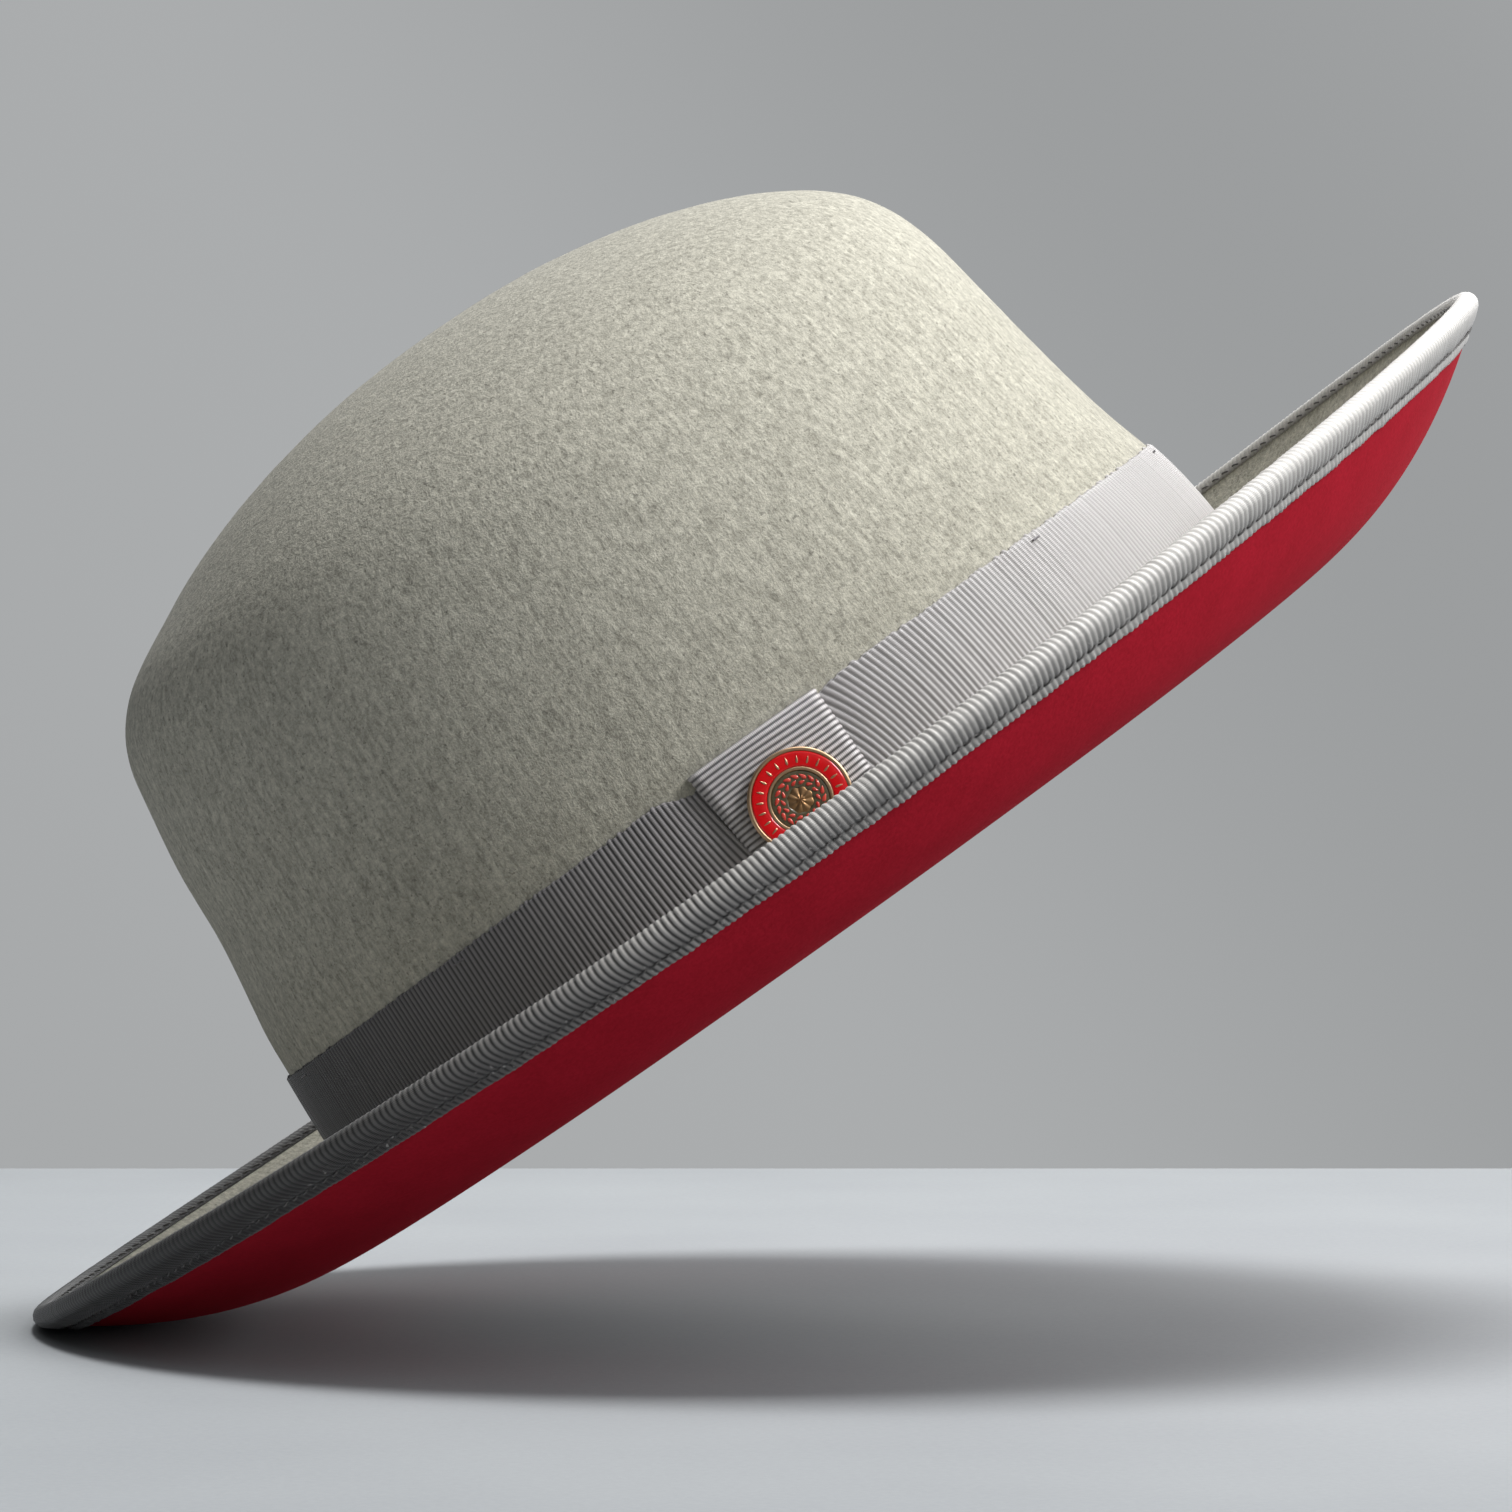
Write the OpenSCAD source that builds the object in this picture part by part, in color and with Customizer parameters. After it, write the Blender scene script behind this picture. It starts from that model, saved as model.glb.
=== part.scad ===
// Hard felt dress hat, bowler family: domed crown, dished brim with a ribbon-bound edge,
// red felt under the brim, ribbon band with a flat bow, enamel badge on a post and clutch,
// leather sweatband and satin lining.
// Millimetres. +Z is up, -X is the wearer's front, -Y is the wearer's left (the bow side).
// The origin is at the middle of the plane that the brim stands on.

/* [Crown] */
// Thickness of the blocked crown felt
felt_t = 2.4; // [2.2:0.1:2.5]
// Radius of the fold where the crown turns into the brim, on top
break_r = 3.0; // [2:0.5:3.5]

/* [Brim] */
// Half length of the finished brim, centre to front tip
rim_len = 171.1; // [165:0.5:178]
// Half width of the finished brim, centre to side
rim_wid = 139.0; // [134:0.5:146]
// Height of the brim's underside at the front and back edges
rim_end_h = 23.8; // [18:0.5:28]
// Height of the brim's underside at the side edges
rim_side_h = 18.0; // [14:0.5:22]
// How suddenly the brim turns up at the front and back, 1 is a straight cone
curl_end = 2.0; // [1.6:0.1:2.6]
// How suddenly the brim turns up at the sides
curl_side = 2.6; // [2:0.1:3.2]
// Thickness of the grey felt in the brim
brim_t = 2.2; // [2:0.1:2.4]
// Thickness of the red felt under the brim
under_t = 1.0; // [0.8:0.1:1.2]

/* [Ribbon] */
// Thickness of the grosgrain ribbon
ribbon_t = 0.6; // [0.5:0.05:0.7]
// Height of the ribbon band round the crown
band_h = 29; // [26:0.5:29]
// Width of the bow's knot along the band
knot_w = 28; // [22:0.5:32]

/* [Badge] */
// Radius of the enamel badge
badge_r = 9.6; // [8.5:0.1:10.5]
// Radius of the badge's post
post_r = 0.55; // [0.5:0.01:0.56]
// Radius of the holes that the post runs in
post_hole_r = 0.6; // [0.6:0.01:0.64]

/* [Inside] */
// Thickness of the sweatband leather
sweat_t = 1.1; // [0.9:0.1:1.2]
// Height of the sweatband's top edge above the brim's underside
sweat_top = 38; // [34:0.5:42]
// Thickness of the satin lining
lining_t = 0.45; // [0.4:0.05:0.5]

/* [Hidden] */

// Crown felt, outer surface: height, half length to the front, half length to the back, half width.
CROWN = [
    [6.2, 105.7, 105.7, 90.1],
    [14, 105.3, 105.3, 89.6],
    [22, 105.0, 104.9, 89.0],
    [36, 104.0, 102.9, 88.0],
    [46, 103.2, 100.0, 87.2],
    [56, 101.4, 97.8, 86.0],
    [66, 99.9, 96.0, 84.6],
    [76, 99.2, 94.5, 82.8],
    [86, 97.8, 93.0, 80.3],
    [95, 96.1, 91.5, 77.2],
    [101, 94.9, 89.8, 74.4],
    [106, 92.7, 87.5, 71.2],
    [110, 89.7, 84.9, 68.0],
    [113.5, 85.8, 81.6, 64.6],
    [118.5, 76.7, 75.0, 58.4],
    [123, 67.8, 67.2, 51.2],
    [127, 58.0, 57.7, 43.2],
    [130.2, 48.0, 48.4, 35.6],
    [132.6, 38.0, 38.3, 28.2],
    [134.6, 27.0, 28.0, 20.4],
    [135.9, 14.5, 16.0, 11.0]
];
POLE = [0.5, 0, 136.5];          // top of the crown
KC = len(CROWN) - 1;

// Angles of the sections: 0 is the back, 90 the wearer's right, 180 the front, 270 the left.
STEP = 9;
ROUND = [for (a = [0:STEP:359]) a];

// ---- Surfaces -------------------------------------------------------------

function front_at(z) = lookup(z, [for (c = CROWN) [c[0], c[1]]]);
function back_at(z)  = lookup(z, [for (c = CROWN) [c[0], c[2]]]);
function wide_at(z)  = lookup(z, [for (c = CROWN) [c[0], c[3]]]);

// A point at angle a on the crown's wall at height z, moved outwards by o.
function wall(a, z, o) = [
    ((cos(a) >= 0 ? back_at(z) : front_at(z)) + o) * cos(a),
    (wide_at(z) + o) * sin(a),
    z
];

// A point on crown station i, and the outward normal there.
function crown_p(i, a) = [
    (cos(a) >= 0 ? CROWN[i][2] : CROWN[i][1]) * cos(a),
    CROWN[i][3] * sin(a),
    CROWN[i][0]
];
function unit(v) = v / norm(v);
function crown_n(i, a) = let (
    up = crown_p(min(i + 1, KC), a) - crown_p(max(i - 1, 0), a),
    round = crown_p(i, a + 1) - crown_p(i, a - 1)
) unit(cross(round, up));
function crown_o(i, a, o) = crown_p(i, a) + o * crown_n(i, a);

// The brim's underside runs from an oval just outside the crown to the rim.
LIP = (brim_t + under_t) / 2;               // half thickness of the brim's edge
RIM_L = rim_len - 1.3;
RIM_W = rim_wid - 1.0;
FOOT = break_r + 3;                         // flat ring outside the crown that the hat stands on
function foot_oval(a) = wall(a, 6.2, FOOT) - [0, 0, 6.2];
function rim_oval(a) = [RIM_L * cos(a), RIM_W * sin(a), 0];
function mixed(a, ends, side) = side + (ends - side) * pow(cos(a), 2);
function rim_h(a) = mixed(a, rim_end_h, rim_side_h);
function curl(a) = mixed(a, curl_end, curl_side);

// Point at share f of the brim's width, lifted off the underside by o along the brim's normal,
// and e further along the brim beyond that point.
function brim_p(a, f, o, e = 0) = let (
    p0 = foot_oval(a), p1 = rim_oval(a), w = norm(p1 - p0), d = (p1 - p0) / w,
    slope = rim_h(a) * curl(a) * pow(max(f, 0.0001), curl(a) - 1) / w,
    t = unit([1, slope]), n = [-t[1], t[0]],
    s = f * w + o * n[0] + e * t[0],
    z = rim_h(a) * pow(f, curl(a)) + o * n[1] + e * t[1]
) p0 + d * s + [0, 0, z];

F = [0, 0.16, 0.31, 0.44, 0.56, 0.67, 0.76, 0.84, 0.905, 0.935, 0.97, 1];
F_UNDER = 8;     // F[8] is where the binding's lower edge lies
F_TOP = 10;      // F[10] is where its upper edge lies
NF = len(F) - 1;

// ---- Solids from sections -------------------------------------------------

function backwards(v) = [for (i = [len(v) - 1:-1:0]) v[i]];

// sections[j] is a closed outline at angle j, running anticlockwise with outwards to the right and
// up to the top, or clockwise if `clockwise`. The ends are joined if closed, and capped if not.
module loft(sections, closed = true, clockwise = false) {
    n = len(sections);
    m = len(sections[0]);
    last = closed ? n - 1 : n - 2;
    sides = [for (j = [0:last], i = [0:m - 1])
        let (a = j * m + i, b = j * m + (i + 1) % m,
             c = ((j + 1) % n) * m + (i + 1) % m, d = ((j + 1) % n) * m + i)
        each (clockwise ? [[a, c, b], [a, d, c]] : [[a, b, c], [a, c, d]])];
    caps = closed ? [] : [
        [for (i = [m - 1:-1:0]) i],
        [for (i = [0:m - 1]) (n - 1) * m + i]
    ];
    polyhedron([for (s = sections) each s], concat(sides, caps), convexity = 8);
}

// Sections that all start near the pole `top` and end near the pole `inner`.
module cap_loft(sections, top, inner) {
    n = len(sections);
    m = len(sections[0]);
    t = n * m;
    sides = [for (j = [0:n - 1], i = [0:m - 2])
        let (a = j * m + i, b = j * m + i + 1, k = (j + 1) % n,
             c = k * m + i + 1, d = k * m + i)
        each [[a, c, b], [a, d, c]]];
    poles = [for (j = [0:n - 1]) let (k = (j + 1) % n)
        each [[t, k * m, j * m], [t + 1, j * m + m - 1, k * m + m - 1]]];
    polyhedron(concat([for (s = sections) each s], [top, inner]), concat(sides, poles), convexity = 10);
}

// Round bead of radius r about a centre line given as a function of the angle.
function bead(c, a, r, sides = 6) =
    [for (k = [0:sides - 1]) c + r * (cos(k * 360 / sides) * unit([cos(a), sin(a), 0]) + sin(k * 360 / sides) * [0, 0, 1])];

// ---- Felt -----------------------------------------------------------------

// The crown and the brim are one felt; they are two solids that meet in the fold's top ring.
function crown_foot_in(a) = wall(a, 6.2, -felt_t);
module felt_crown() {
    color([0.60, 0.60, 0.55])
    difference() {
        cap_loft([for (a = ROUND) concat(
            // outer crown, top to bottom
            [for (i = [KC:-1:0]) crown_p(i, a)],
            // inner crown, bottom to top
            [crown_foot_in(a)],
            [for (i = [1:1:KC]) crown_o(i, a, -felt_t)]
        )], POLE, POLE - [0, 0, felt_t]);
        badge_frame() cylinder(r = post_hole_r, h = 14, center = true, $fn = 48);
    }
}

module felt_brim() {
    color([0.62, 0.61, 0.56])
    loft([for (a = ROUND) concat(
        // from the crown's outer edge, fold into the brim
        [crown_p(0, a)],
        [for (q = [30, 60]) wall(a, 6.2, break_r * (1 - cos(q))) - [0, 0, break_r * sin(q)]],
        // top of the brim
        [wall(a, 6.2, break_r) - [0, 0, 6.2 - brim_t - under_t]],
        [for (f = F) brim_p(a, f, brim_t + under_t)],
        // rounded lip
        [for (q = [45, 0, -45]) brim_p(a, 1, LIP + LIP * sin(q), LIP * cos(q))],
        [brim_p(a, 1, 0)],
        // underside, above the red felt
        [for (k = [NF:-1:0]) brim_p(a, F[k], under_t)],
        [wall(a, 6.2, 1.0) - [0, 0, 6.2 - under_t]],
        [wall(a, 6.2, -1.4) - [0, 0, 6.2 - under_t - 0.9]],
        // up to the crown's inner edge
        [crown_foot_in(a)]
    )], clockwise = true);
}

module brim_underlay() {
    color([0.55, 0.08, 0.13])
    loft([for (a = ROUND) concat(
        [for (k = [NF:-1:0]) brim_p(a, F[k], under_t)],
        [wall(a, 6.2, 1.0) - [0, 0, 6.2 - under_t]],
        [wall(a, 6.2, 1.0) - [0, 0, 6.2]],
        [for (f = F) brim_p(a, f, 0)]
    )]);
}

// ---- Edge binding ---------------------------------------------------------

BIND_O = 0.05;     // room between the ribbon and the felt
module edge_binding() {
    t = ribbon_t + BIND_O;
    r = LIP + BIND_O;
    color([0.42, 0.41, 0.42])
    loft([for (a = ROUND) backwards(concat(
        // outside of the fold, from the upper edge round to the lower edge
        [for (k = [F_TOP:NF]) brim_p(a, F[k], 2 * LIP + t)],
        [for (q = [60, 30, 0, -30, -60]) brim_p(a, 1, LIP + (LIP + t) * sin(q), (LIP + t) * cos(q))],
        [for (k = [NF:-1:F_UNDER]) brim_p(a, F[k], -t)],
        // inside of the fold, back again
        [for (k = [F_UNDER:NF]) brim_p(a, F[k], -BIND_O)],
        [for (q = [-45, 0, 45]) brim_p(a, 1, LIP + r * sin(q), r * cos(q))],
        [for (k = [NF:-1:F_TOP]) brim_p(a, F[k], 2 * LIP + BIND_O)]
    ))]);
}

// Two runs of sewing thread, one on each face of the binding, near its edges.
module binding_thread() {
    color([0.30, 0.30, 0.31]) {
        loft([for (a = ROUND) bead(brim_p(a, 0.918, -ribbon_t - 0.45), a, 0.25)]);
        loft([for (a = ROUND) bead(brim_p(a, 0.982, 2 * LIP + ribbon_t + 0.45), a, 0.25)]);
    }
}

// ---- Ribbon band and bow --------------------------------------------------

function band_top(a) = 37.1 + 1.5 * cos(a) - 0.5 * cos(2 * a);
// The ribbon's two ends meet under the knot.
BAND_ANGLES = concat([273.6], [for (a = [279:STEP:630]) a], [633]);
BAND_GAP = 0.12;

module hat_band() {
    color([0.45, 0.44, 0.46])
    difference() {
        loft([for (a = BAND_ANGLES) let (t = band_top(a), b = t - band_h, h = [b, 14, 22, min(36, t - 0.4), t]) concat(
            [for (z = h) wall(a, z, BAND_GAP + ribbon_t)],
            [for (i = [4:-1:0]) wall(a, h[i], BAND_GAP)]
        )], closed = false);
        badge_frame() cylinder(r = post_hole_r, h = 14, center = true, $fn = 48);
    }
}

// Short hand stitches that hold the band to the felt, lying on the ribbon near its edges.
module band_tacks() {
    color([0.25, 0.25, 0.26])
    for (a = [309, 345, 15, 51, 129, 165, 195, 231], low = [0, 1]) {
        z = low == 1 ? band_top(a) - band_h + 2 : band_top(a) - 1.5;
        p = wall(a, z, BAND_GAP + ribbon_t + 0.22);
        translate(p) rotate([0, 0, a]) rotate([90, 0, 8]) cylinder(r = 0.2, h = 2.4, center = true, $fn = 24);
    }
}

// Frame on the left side of the crown, with +Z out of the wall and +X down it.
BADGE_Z = 22.9;
LEAN = 4.1;
module badge_frame() {
    rotate([0, 0, -90]) translate([wide_at(BADGE_Z), 0, BADGE_Z]) rotate([0, 90 - LEAN, 0]) children();
}

// A curved slab in the badge frame: from n0 to n1 off the felt, with the crown's curve in plan.
PLAN_R = 125;
module curved_slab(x0, x1, half_y, n0, n1) {
    intersection() {
        translate([0, 0, -PLAN_R]) rotate([0, 90, 0])
            difference() {
                translate([0, 0, x0]) cylinder(r = PLAN_R + n1, h = x1 - x0, $fn = 200);
                translate([0, 0, x0 - 1]) cylinder(r = PLAN_R + n0, h = x1 - x0 + 2, $fn = 200);
            }
        translate([x0 - 1, -half_y, -20]) cube([x1 - x0 + 2, 2 * half_y, 40]);
    }
}

HALF_BAND = band_h / 2;
module bow_core() {
    color([0.40, 0.39, 0.41])
    difference() {
        curved_slab(-HALF_BAND + 0.6, HALF_BAND - 0.6, knot_w / 2 - 2, 0.95, 1.95);
        badge_frame_hole();
    }
}
module badge_frame_hole() { cylinder(r = post_hole_r, h = 14, center = true, $fn = 48); }

// The knot is one strip of ribbon that goes over the band and turns in over both its edges.
module bow_knot() {
    color([0.45, 0.44, 0.46])
    difference() {
        curved_slab(-HALF_BAND - 0.8, HALF_BAND + 0.8, knot_w / 2, 0.3, 2.1 + ribbon_t);
        curved_slab(-HALF_BAND - 0.2, HALF_BAND + 0.2, knot_w / 2 + 1, -2, 2.1);
        badge_frame_hole();
    }
}

// ---- Badge ----------------------------------------------------------------

BADGE_N = 3.1;        // back of the badge off the felt
BADGE_T = 1.3;
module badge_body() {
    color([0.78, 0.62, 0.36])
    difference() {
        union() {
            translate([0, 0, BADGE_N]) cylinder(r = badge_r, h = BADGE_T - 0.3, $fn = 96);
            translate([0, 0, BADGE_N]) cylinder(r = badge_r - 0.3, h = BADGE_T, $fn = 96);
        }
        // recess for the ring of enamel
        translate([0, 0, BADGE_N + BADGE_T - 0.45]) difference() {
            cylinder(r = badge_r - 0.75, h = 1, $fn = 96);
            translate([0, 0, -1]) cylinder(r = 0.62 * badge_r, h = 3, $fn = 96);
        }
        // recess for the field round the boss
        translate([0, 0, BADGE_N + BADGE_T - 0.45]) difference() {
            cylinder(r = 0.56 * badge_r, h = 1, $fn = 96);
            translate([0, 0, -1]) cylinder(r = 0.22 * badge_r, h = 3, $fn = 64);
        }
        // seat of the post
        translate([0, 0, BADGE_N - 1]) cylinder(r = post_r, h = 1.5, $fn = 48);
    }
}
module badge_ring_enamel() {
    color([0.86, 0.05, 0.08])
    translate([0, 0, BADGE_N + BADGE_T - 0.45]) difference() {
        cylinder(r = badge_r - 0.75, h = 0.38, $fn = 96);
        translate([0, 0, -1]) cylinder(r = 0.62 * badge_r, h = 3, $fn = 96);
    }
}
module badge_field_enamel() {
    color([0.33, 0.28, 0.19])
    translate([0, 0, BADGE_N + BADGE_T - 0.45]) difference() {
        cylinder(r = 0.56 * badge_r, h = 0.3, $fn = 96);
        translate([0, 0, -1]) cylinder(r = 0.22 * badge_r, h = 3, $fn = 64);
    }
}
// Ring of small enamel drops between the boss and the edge of the field.
module badge_beads() {
    color([0.84, 0.20, 0.16])
    for (k = [0:13]) rotate([0, 0, k * 360 / 14])
        translate([0.39 * badge_r, 0, BADGE_N + BADGE_T - 0.15])
            cylinder(r1 = 0.062 * badge_r, r2 = 0.04 * badge_r, h = 0.28, $fn = 24);
}
CLUTCH_N = -felt_t - 0.7;      // outer face of the clutch, just inside the felt
module badge_post() {
    color([0.75, 0.72, 0.66]) {
        rotate([180, 0, 0]) translate([0, 0, -BADGE_N - 0.5])
            cylinder(r = post_r, h = BADGE_N + 0.5 - CLUTCH_N + 0.77, $fn = 48);
        translate([0, 0, CLUTCH_N - 1.05]) cylinder(r1 = 0.2, r2 = post_r, h = 0.3, $fn = 48);
    }
}
// Flat locking clutch: a cup with a bore for the post, and a spring plate inside it.
module clutch_body() {
    color([0.76, 0.62, 0.38])
    difference() {
        translate([0, 0, CLUTCH_N - 1.4]) cylinder(r = 4.6, h = 1.4, $fn = 64);
        translate([0, 0, CLUTCH_N - 1.2]) cylinder(r = 3.9, h = 0.85, $fn = 64);
        translate([0, 0, CLUTCH_N - 0.6]) cylinder(r = post_hole_r, h = 1, $fn = 48);
    }
}
module clutch_spring() {
    color([0.70, 0.70, 0.70])
    difference() {
        translate([0, 0, CLUTCH_N - 0.7]) cylinder(r = 3.6, h = 0.25, $fn = 48);
        translate([0, 0, CLUTCH_N - 1]) cylinder(r = post_hole_r, h = 1, $fn = 48);
        for (s = [-1, 1]) translate([s * 2, 0, CLUTCH_N - 0.6]) cube([1.6, 0.5, 1], center = true);
    }
}

// ---- Inside ---------------------------------------------------------------

SWEAT_O = -felt_t - 2.7;        // outer face of the sweatband off the felt's outer face
SEAM = 0.15;                    // half width of the butt seam at the back, in degrees
module sweatband() {
    angles = concat([SEAM], [for (a = [STEP:STEP:359]) a], [360 - SEAM]);
    b = 4.2;
    color([0.16, 0.13, 0.12])
    loft([for (a = angles) [
        wall(a, b, SWEAT_O - sweat_t), wall(a, b, SWEAT_O),
        wall(a, 14, SWEAT_O), wall(a, 26, SWEAT_O), wall(a, sweat_top, SWEAT_O),
        wall(a, sweat_top, SWEAT_O - sweat_t), wall(a, 26, SWEAT_O - sweat_t), wall(a, 14, SWEAT_O - sweat_t)
    ]], closed = false);
}
// Plastic reed in the fold at the sweatband's lower edge.
module sweatband_reed() {
    color([0.85, 0.84, 0.80])
    loft([for (a = ROUND) bead(wall(a, 6.2, -felt_t - 1.2) + [0, 0, -2.6], a, 0.9, 8)]);
}
module sweatband_thread() {
    color([0.12, 0.12, 0.12])
    loft([for (a = ROUND) bead(wall(a, 6.2, SWEAT_O - sweat_t - 0.5) + [0, 0, 0.4], a, 0.22)]);
}
// Small flat bow that covers the sweatband's back seam.
module sweatband_bow() {
    color([0.15, 0.15, 0.16])
    rotate([0, 0, -90]) translate([0, back_at(14) + SWEAT_O - sweat_t - 2.1, 13]) rotate([90, 0, 0]) {
        for (s = [-1, 1]) translate([0, 0, -0.9]) linear_extrude(1.6) difference() {
            hull() { translate([s * 7.5, 0]) circle(r = 2.6, $fn = 32); translate([s * 1.4, 0]) circle(r = 0.9, $fn = 24); }
            hull() { translate([s * 7.3, 0]) circle(r = 1.9, $fn = 32); translate([s * 3, 0]) circle(r = 0.5, $fn = 24); }
        }
        translate([-1.5, -1.8, -1.0]) cube([3.0, 3.6, 2.0]);
    }
}
LINE_O = -felt_t - 0.25;
module lining_side() {
    color([0.10, 0.10, 0.11])
    loft([for (a = ROUND) concat(
        [wall(a, 29, LINE_O - lining_t), wall(a, 29, LINE_O)],
        [for (i = [4:2:10]) crown_o(i, a, LINE_O)], [crown_o(12, a, LINE_O)],
        [crown_o(12, a, LINE_O - lining_t)], [for (i = [10:-2:4]) crown_o(i, a, LINE_O - lining_t)]
    )]);
}
module lining_tip() {
    color([0.10, 0.10, 0.11])
    cap_loft([for (a = ROUND) concat(
        [for (i = [KC:-2:14]) crown_o(i, a, LINE_O)], [crown_o(13, a, LINE_O)],
        [crown_o(13, a, LINE_O - lining_t)], [for (i = [14:2:KC]) crown_o(i, a, LINE_O - lining_t)]
    )], POLE + [0, 0, LINE_O], POLE + [0, 0, LINE_O - lining_t]);
}
// Corded piping in the seam between the lining's side and its tip.
module lining_piping() {
    color([0.50, 0.07, 0.11])
    loft([for (a = ROUND) bead((crown_o(12, a, LINE_O - lining_t - 0.8) + crown_o(13, a, LINE_O - lining_t - 0.8)) / 2, a, 0.6, 6)]);
}
// Clear sheet that guards the lining's tip.
module tip_shield() {
    color([0.85, 0.88, 0.90, 0.35])
    cap_loft([for (a = ROUND) concat(
        [for (i = [KC, 18, 16]) crown_o(i, a, LINE_O - lining_t - 0.35)],
        [for (i = [16, 18, KC]) crown_o(i, a, LINE_O - lining_t - 0.6)]
    )], POLE + [0, 0, LINE_O - lining_t - 0.35], POLE + [0, 0, LINE_O - lining_t - 0.6]);
}
// Blank woven tag tucked behind the sweatband at the back.
module size_tag() {
    o = LINE_O - lining_t - 1.15;
    color([0.92, 0.91, 0.87])
    loft([for (a = [12:3:24]) [
        wall(a, 27, o - 0.3), wall(a, 27, o), wall(a, 36, o), wall(a, 46, o),
        wall(a, 46, o - 0.3), wall(a, 36, o - 0.3)
    ]], closed = false);
}

felt_crown();
felt_brim();
brim_underlay();
edge_binding();
binding_thread();
hat_band();
band_tacks();
badge_frame() bow_core();
badge_frame() bow_knot();
badge_frame() badge_body();
badge_frame() badge_ring_enamel();
badge_frame() badge_field_enamel();
badge_frame() badge_beads();
badge_frame() badge_post();
badge_frame() clutch_body();
badge_frame() clutch_spring();
sweatband();
sweatband_reed();
sweatband_thread();
sweatband_bow();
lining_side();
lining_tip();
lining_piping();
tip_shield();
size_tag();
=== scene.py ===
import math

import bpy
import numpy as np
from mathutils import Matrix, Vector


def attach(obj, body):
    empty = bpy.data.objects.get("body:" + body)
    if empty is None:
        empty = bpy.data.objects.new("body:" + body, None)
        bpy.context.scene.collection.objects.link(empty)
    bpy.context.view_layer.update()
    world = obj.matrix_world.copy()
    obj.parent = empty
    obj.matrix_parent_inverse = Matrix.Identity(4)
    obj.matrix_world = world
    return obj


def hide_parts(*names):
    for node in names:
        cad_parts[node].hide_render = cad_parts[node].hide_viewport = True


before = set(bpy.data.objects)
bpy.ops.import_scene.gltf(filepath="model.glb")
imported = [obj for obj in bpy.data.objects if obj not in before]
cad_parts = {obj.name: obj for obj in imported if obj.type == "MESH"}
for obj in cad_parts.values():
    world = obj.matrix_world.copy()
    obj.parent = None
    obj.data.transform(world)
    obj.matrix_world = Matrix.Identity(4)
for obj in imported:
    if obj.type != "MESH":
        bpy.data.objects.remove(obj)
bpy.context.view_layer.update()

MM = 0.001

# ---------------------------------------------------------------------------
# Shape functions. Lengths here are millimetres in the row frame.
# ---------------------------------------------------------------------------

FELT_T, BREAK_R = 2.4, 3.0
RIM_LEN, RIM_WID = 171.1, 139.0
END_H, SIDE_H, CURL_END, CURL_SIDE = 23.8, 18.0, 2.0, 2.6
BRIM_T, UNDER_T, RIBBON_T = 2.2, 1.0, 0.6
BAND_H, KNOT_W, BADGE_R = 29.0, 28.0, 9.6
BADGE_Z, LEAN = 22.9, 4.1
EDGE = BRIM_T + UNDER_T
LIP = EDGE / 2
CROWN = np.array([
    [6.2, 105.7, 105.7, 90.1], [14, 105.3, 105.3, 89.6], [22, 105.0, 104.9, 89.0], [36, 104.0, 102.9, 88.0],
    [46, 103.2, 100.0, 87.2], [56, 101.4, 97.8, 86.0], [66, 99.9, 96.0, 84.6], [76, 99.2, 94.5, 82.8],
    [86, 97.8, 93.0, 80.3], [95, 96.1, 91.5, 77.2], [101, 94.9, 89.8, 74.4], [106, 92.7, 87.5, 71.2],
    [110, 89.7, 84.9, 68.0], [113.5, 85.8, 81.6, 64.6], [118.5, 76.7, 75.0, 58.4], [123, 67.8, 67.2, 51.2],
    [127, 58.0, 57.7, 43.2], [130.2, 48.0, 48.4, 35.6], [132.6, 38.0, 38.3, 28.2], [134.6, 27.0, 28.0, 20.4],
    [135.9, 14.5, 16.0, 11.0]])


def cubic(x, y, q):
    """Natural cubic spline through (x, y), read at q."""
    n, h = len(x), np.diff(x)
    a = np.zeros((n, n))
    b = np.zeros((n,) + y.shape[1:])
    a[0, 0] = a[-1, -1] = 1
    for i in range(1, n - 1):
        a[i, i - 1], a[i, i], a[i, i + 1] = h[i - 1], 2 * (h[i - 1] + h[i]), h[i]
        b[i] = 6 * ((y[i + 1] - y[i]) / h[i] - (y[i] - y[i - 1]) / h[i - 1])
    m = np.linalg.solve(a, b)
    i = np.clip(np.searchsorted(x, q) - 1, 0, n - 2)
    u, v = q - x[i], x[i + 1] - q
    ex = (slice(None),) + (None,) * (y.ndim - 1)
    u, v, hh = u[ex], v[ex], h[i][ex]
    return (m[i] * v**3 + m[i + 1] * u**3) / (6 * hh) + (y[i] / hh - m[i] * hh / 6) * v + (y[i + 1] / hh - m[i + 1] * hh / 6) * u


def soften(y, sigma):
    """Gaussian smoothing down the rows, ends kept in place."""
    k = int(3 * sigma) + 1
    w = np.exp(-0.5 * (np.arange(-k, k + 1) / sigma) ** 2)
    w /= w.sum()
    pad = np.concatenate([2 * y[:1] - y[k:0:-1], y, 2 * y[-1:] - y[-2:-k - 2:-1]])
    return np.stack([np.convolve(pad[:, c], w, "valid") for c in range(y.shape[1])], 1)


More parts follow.
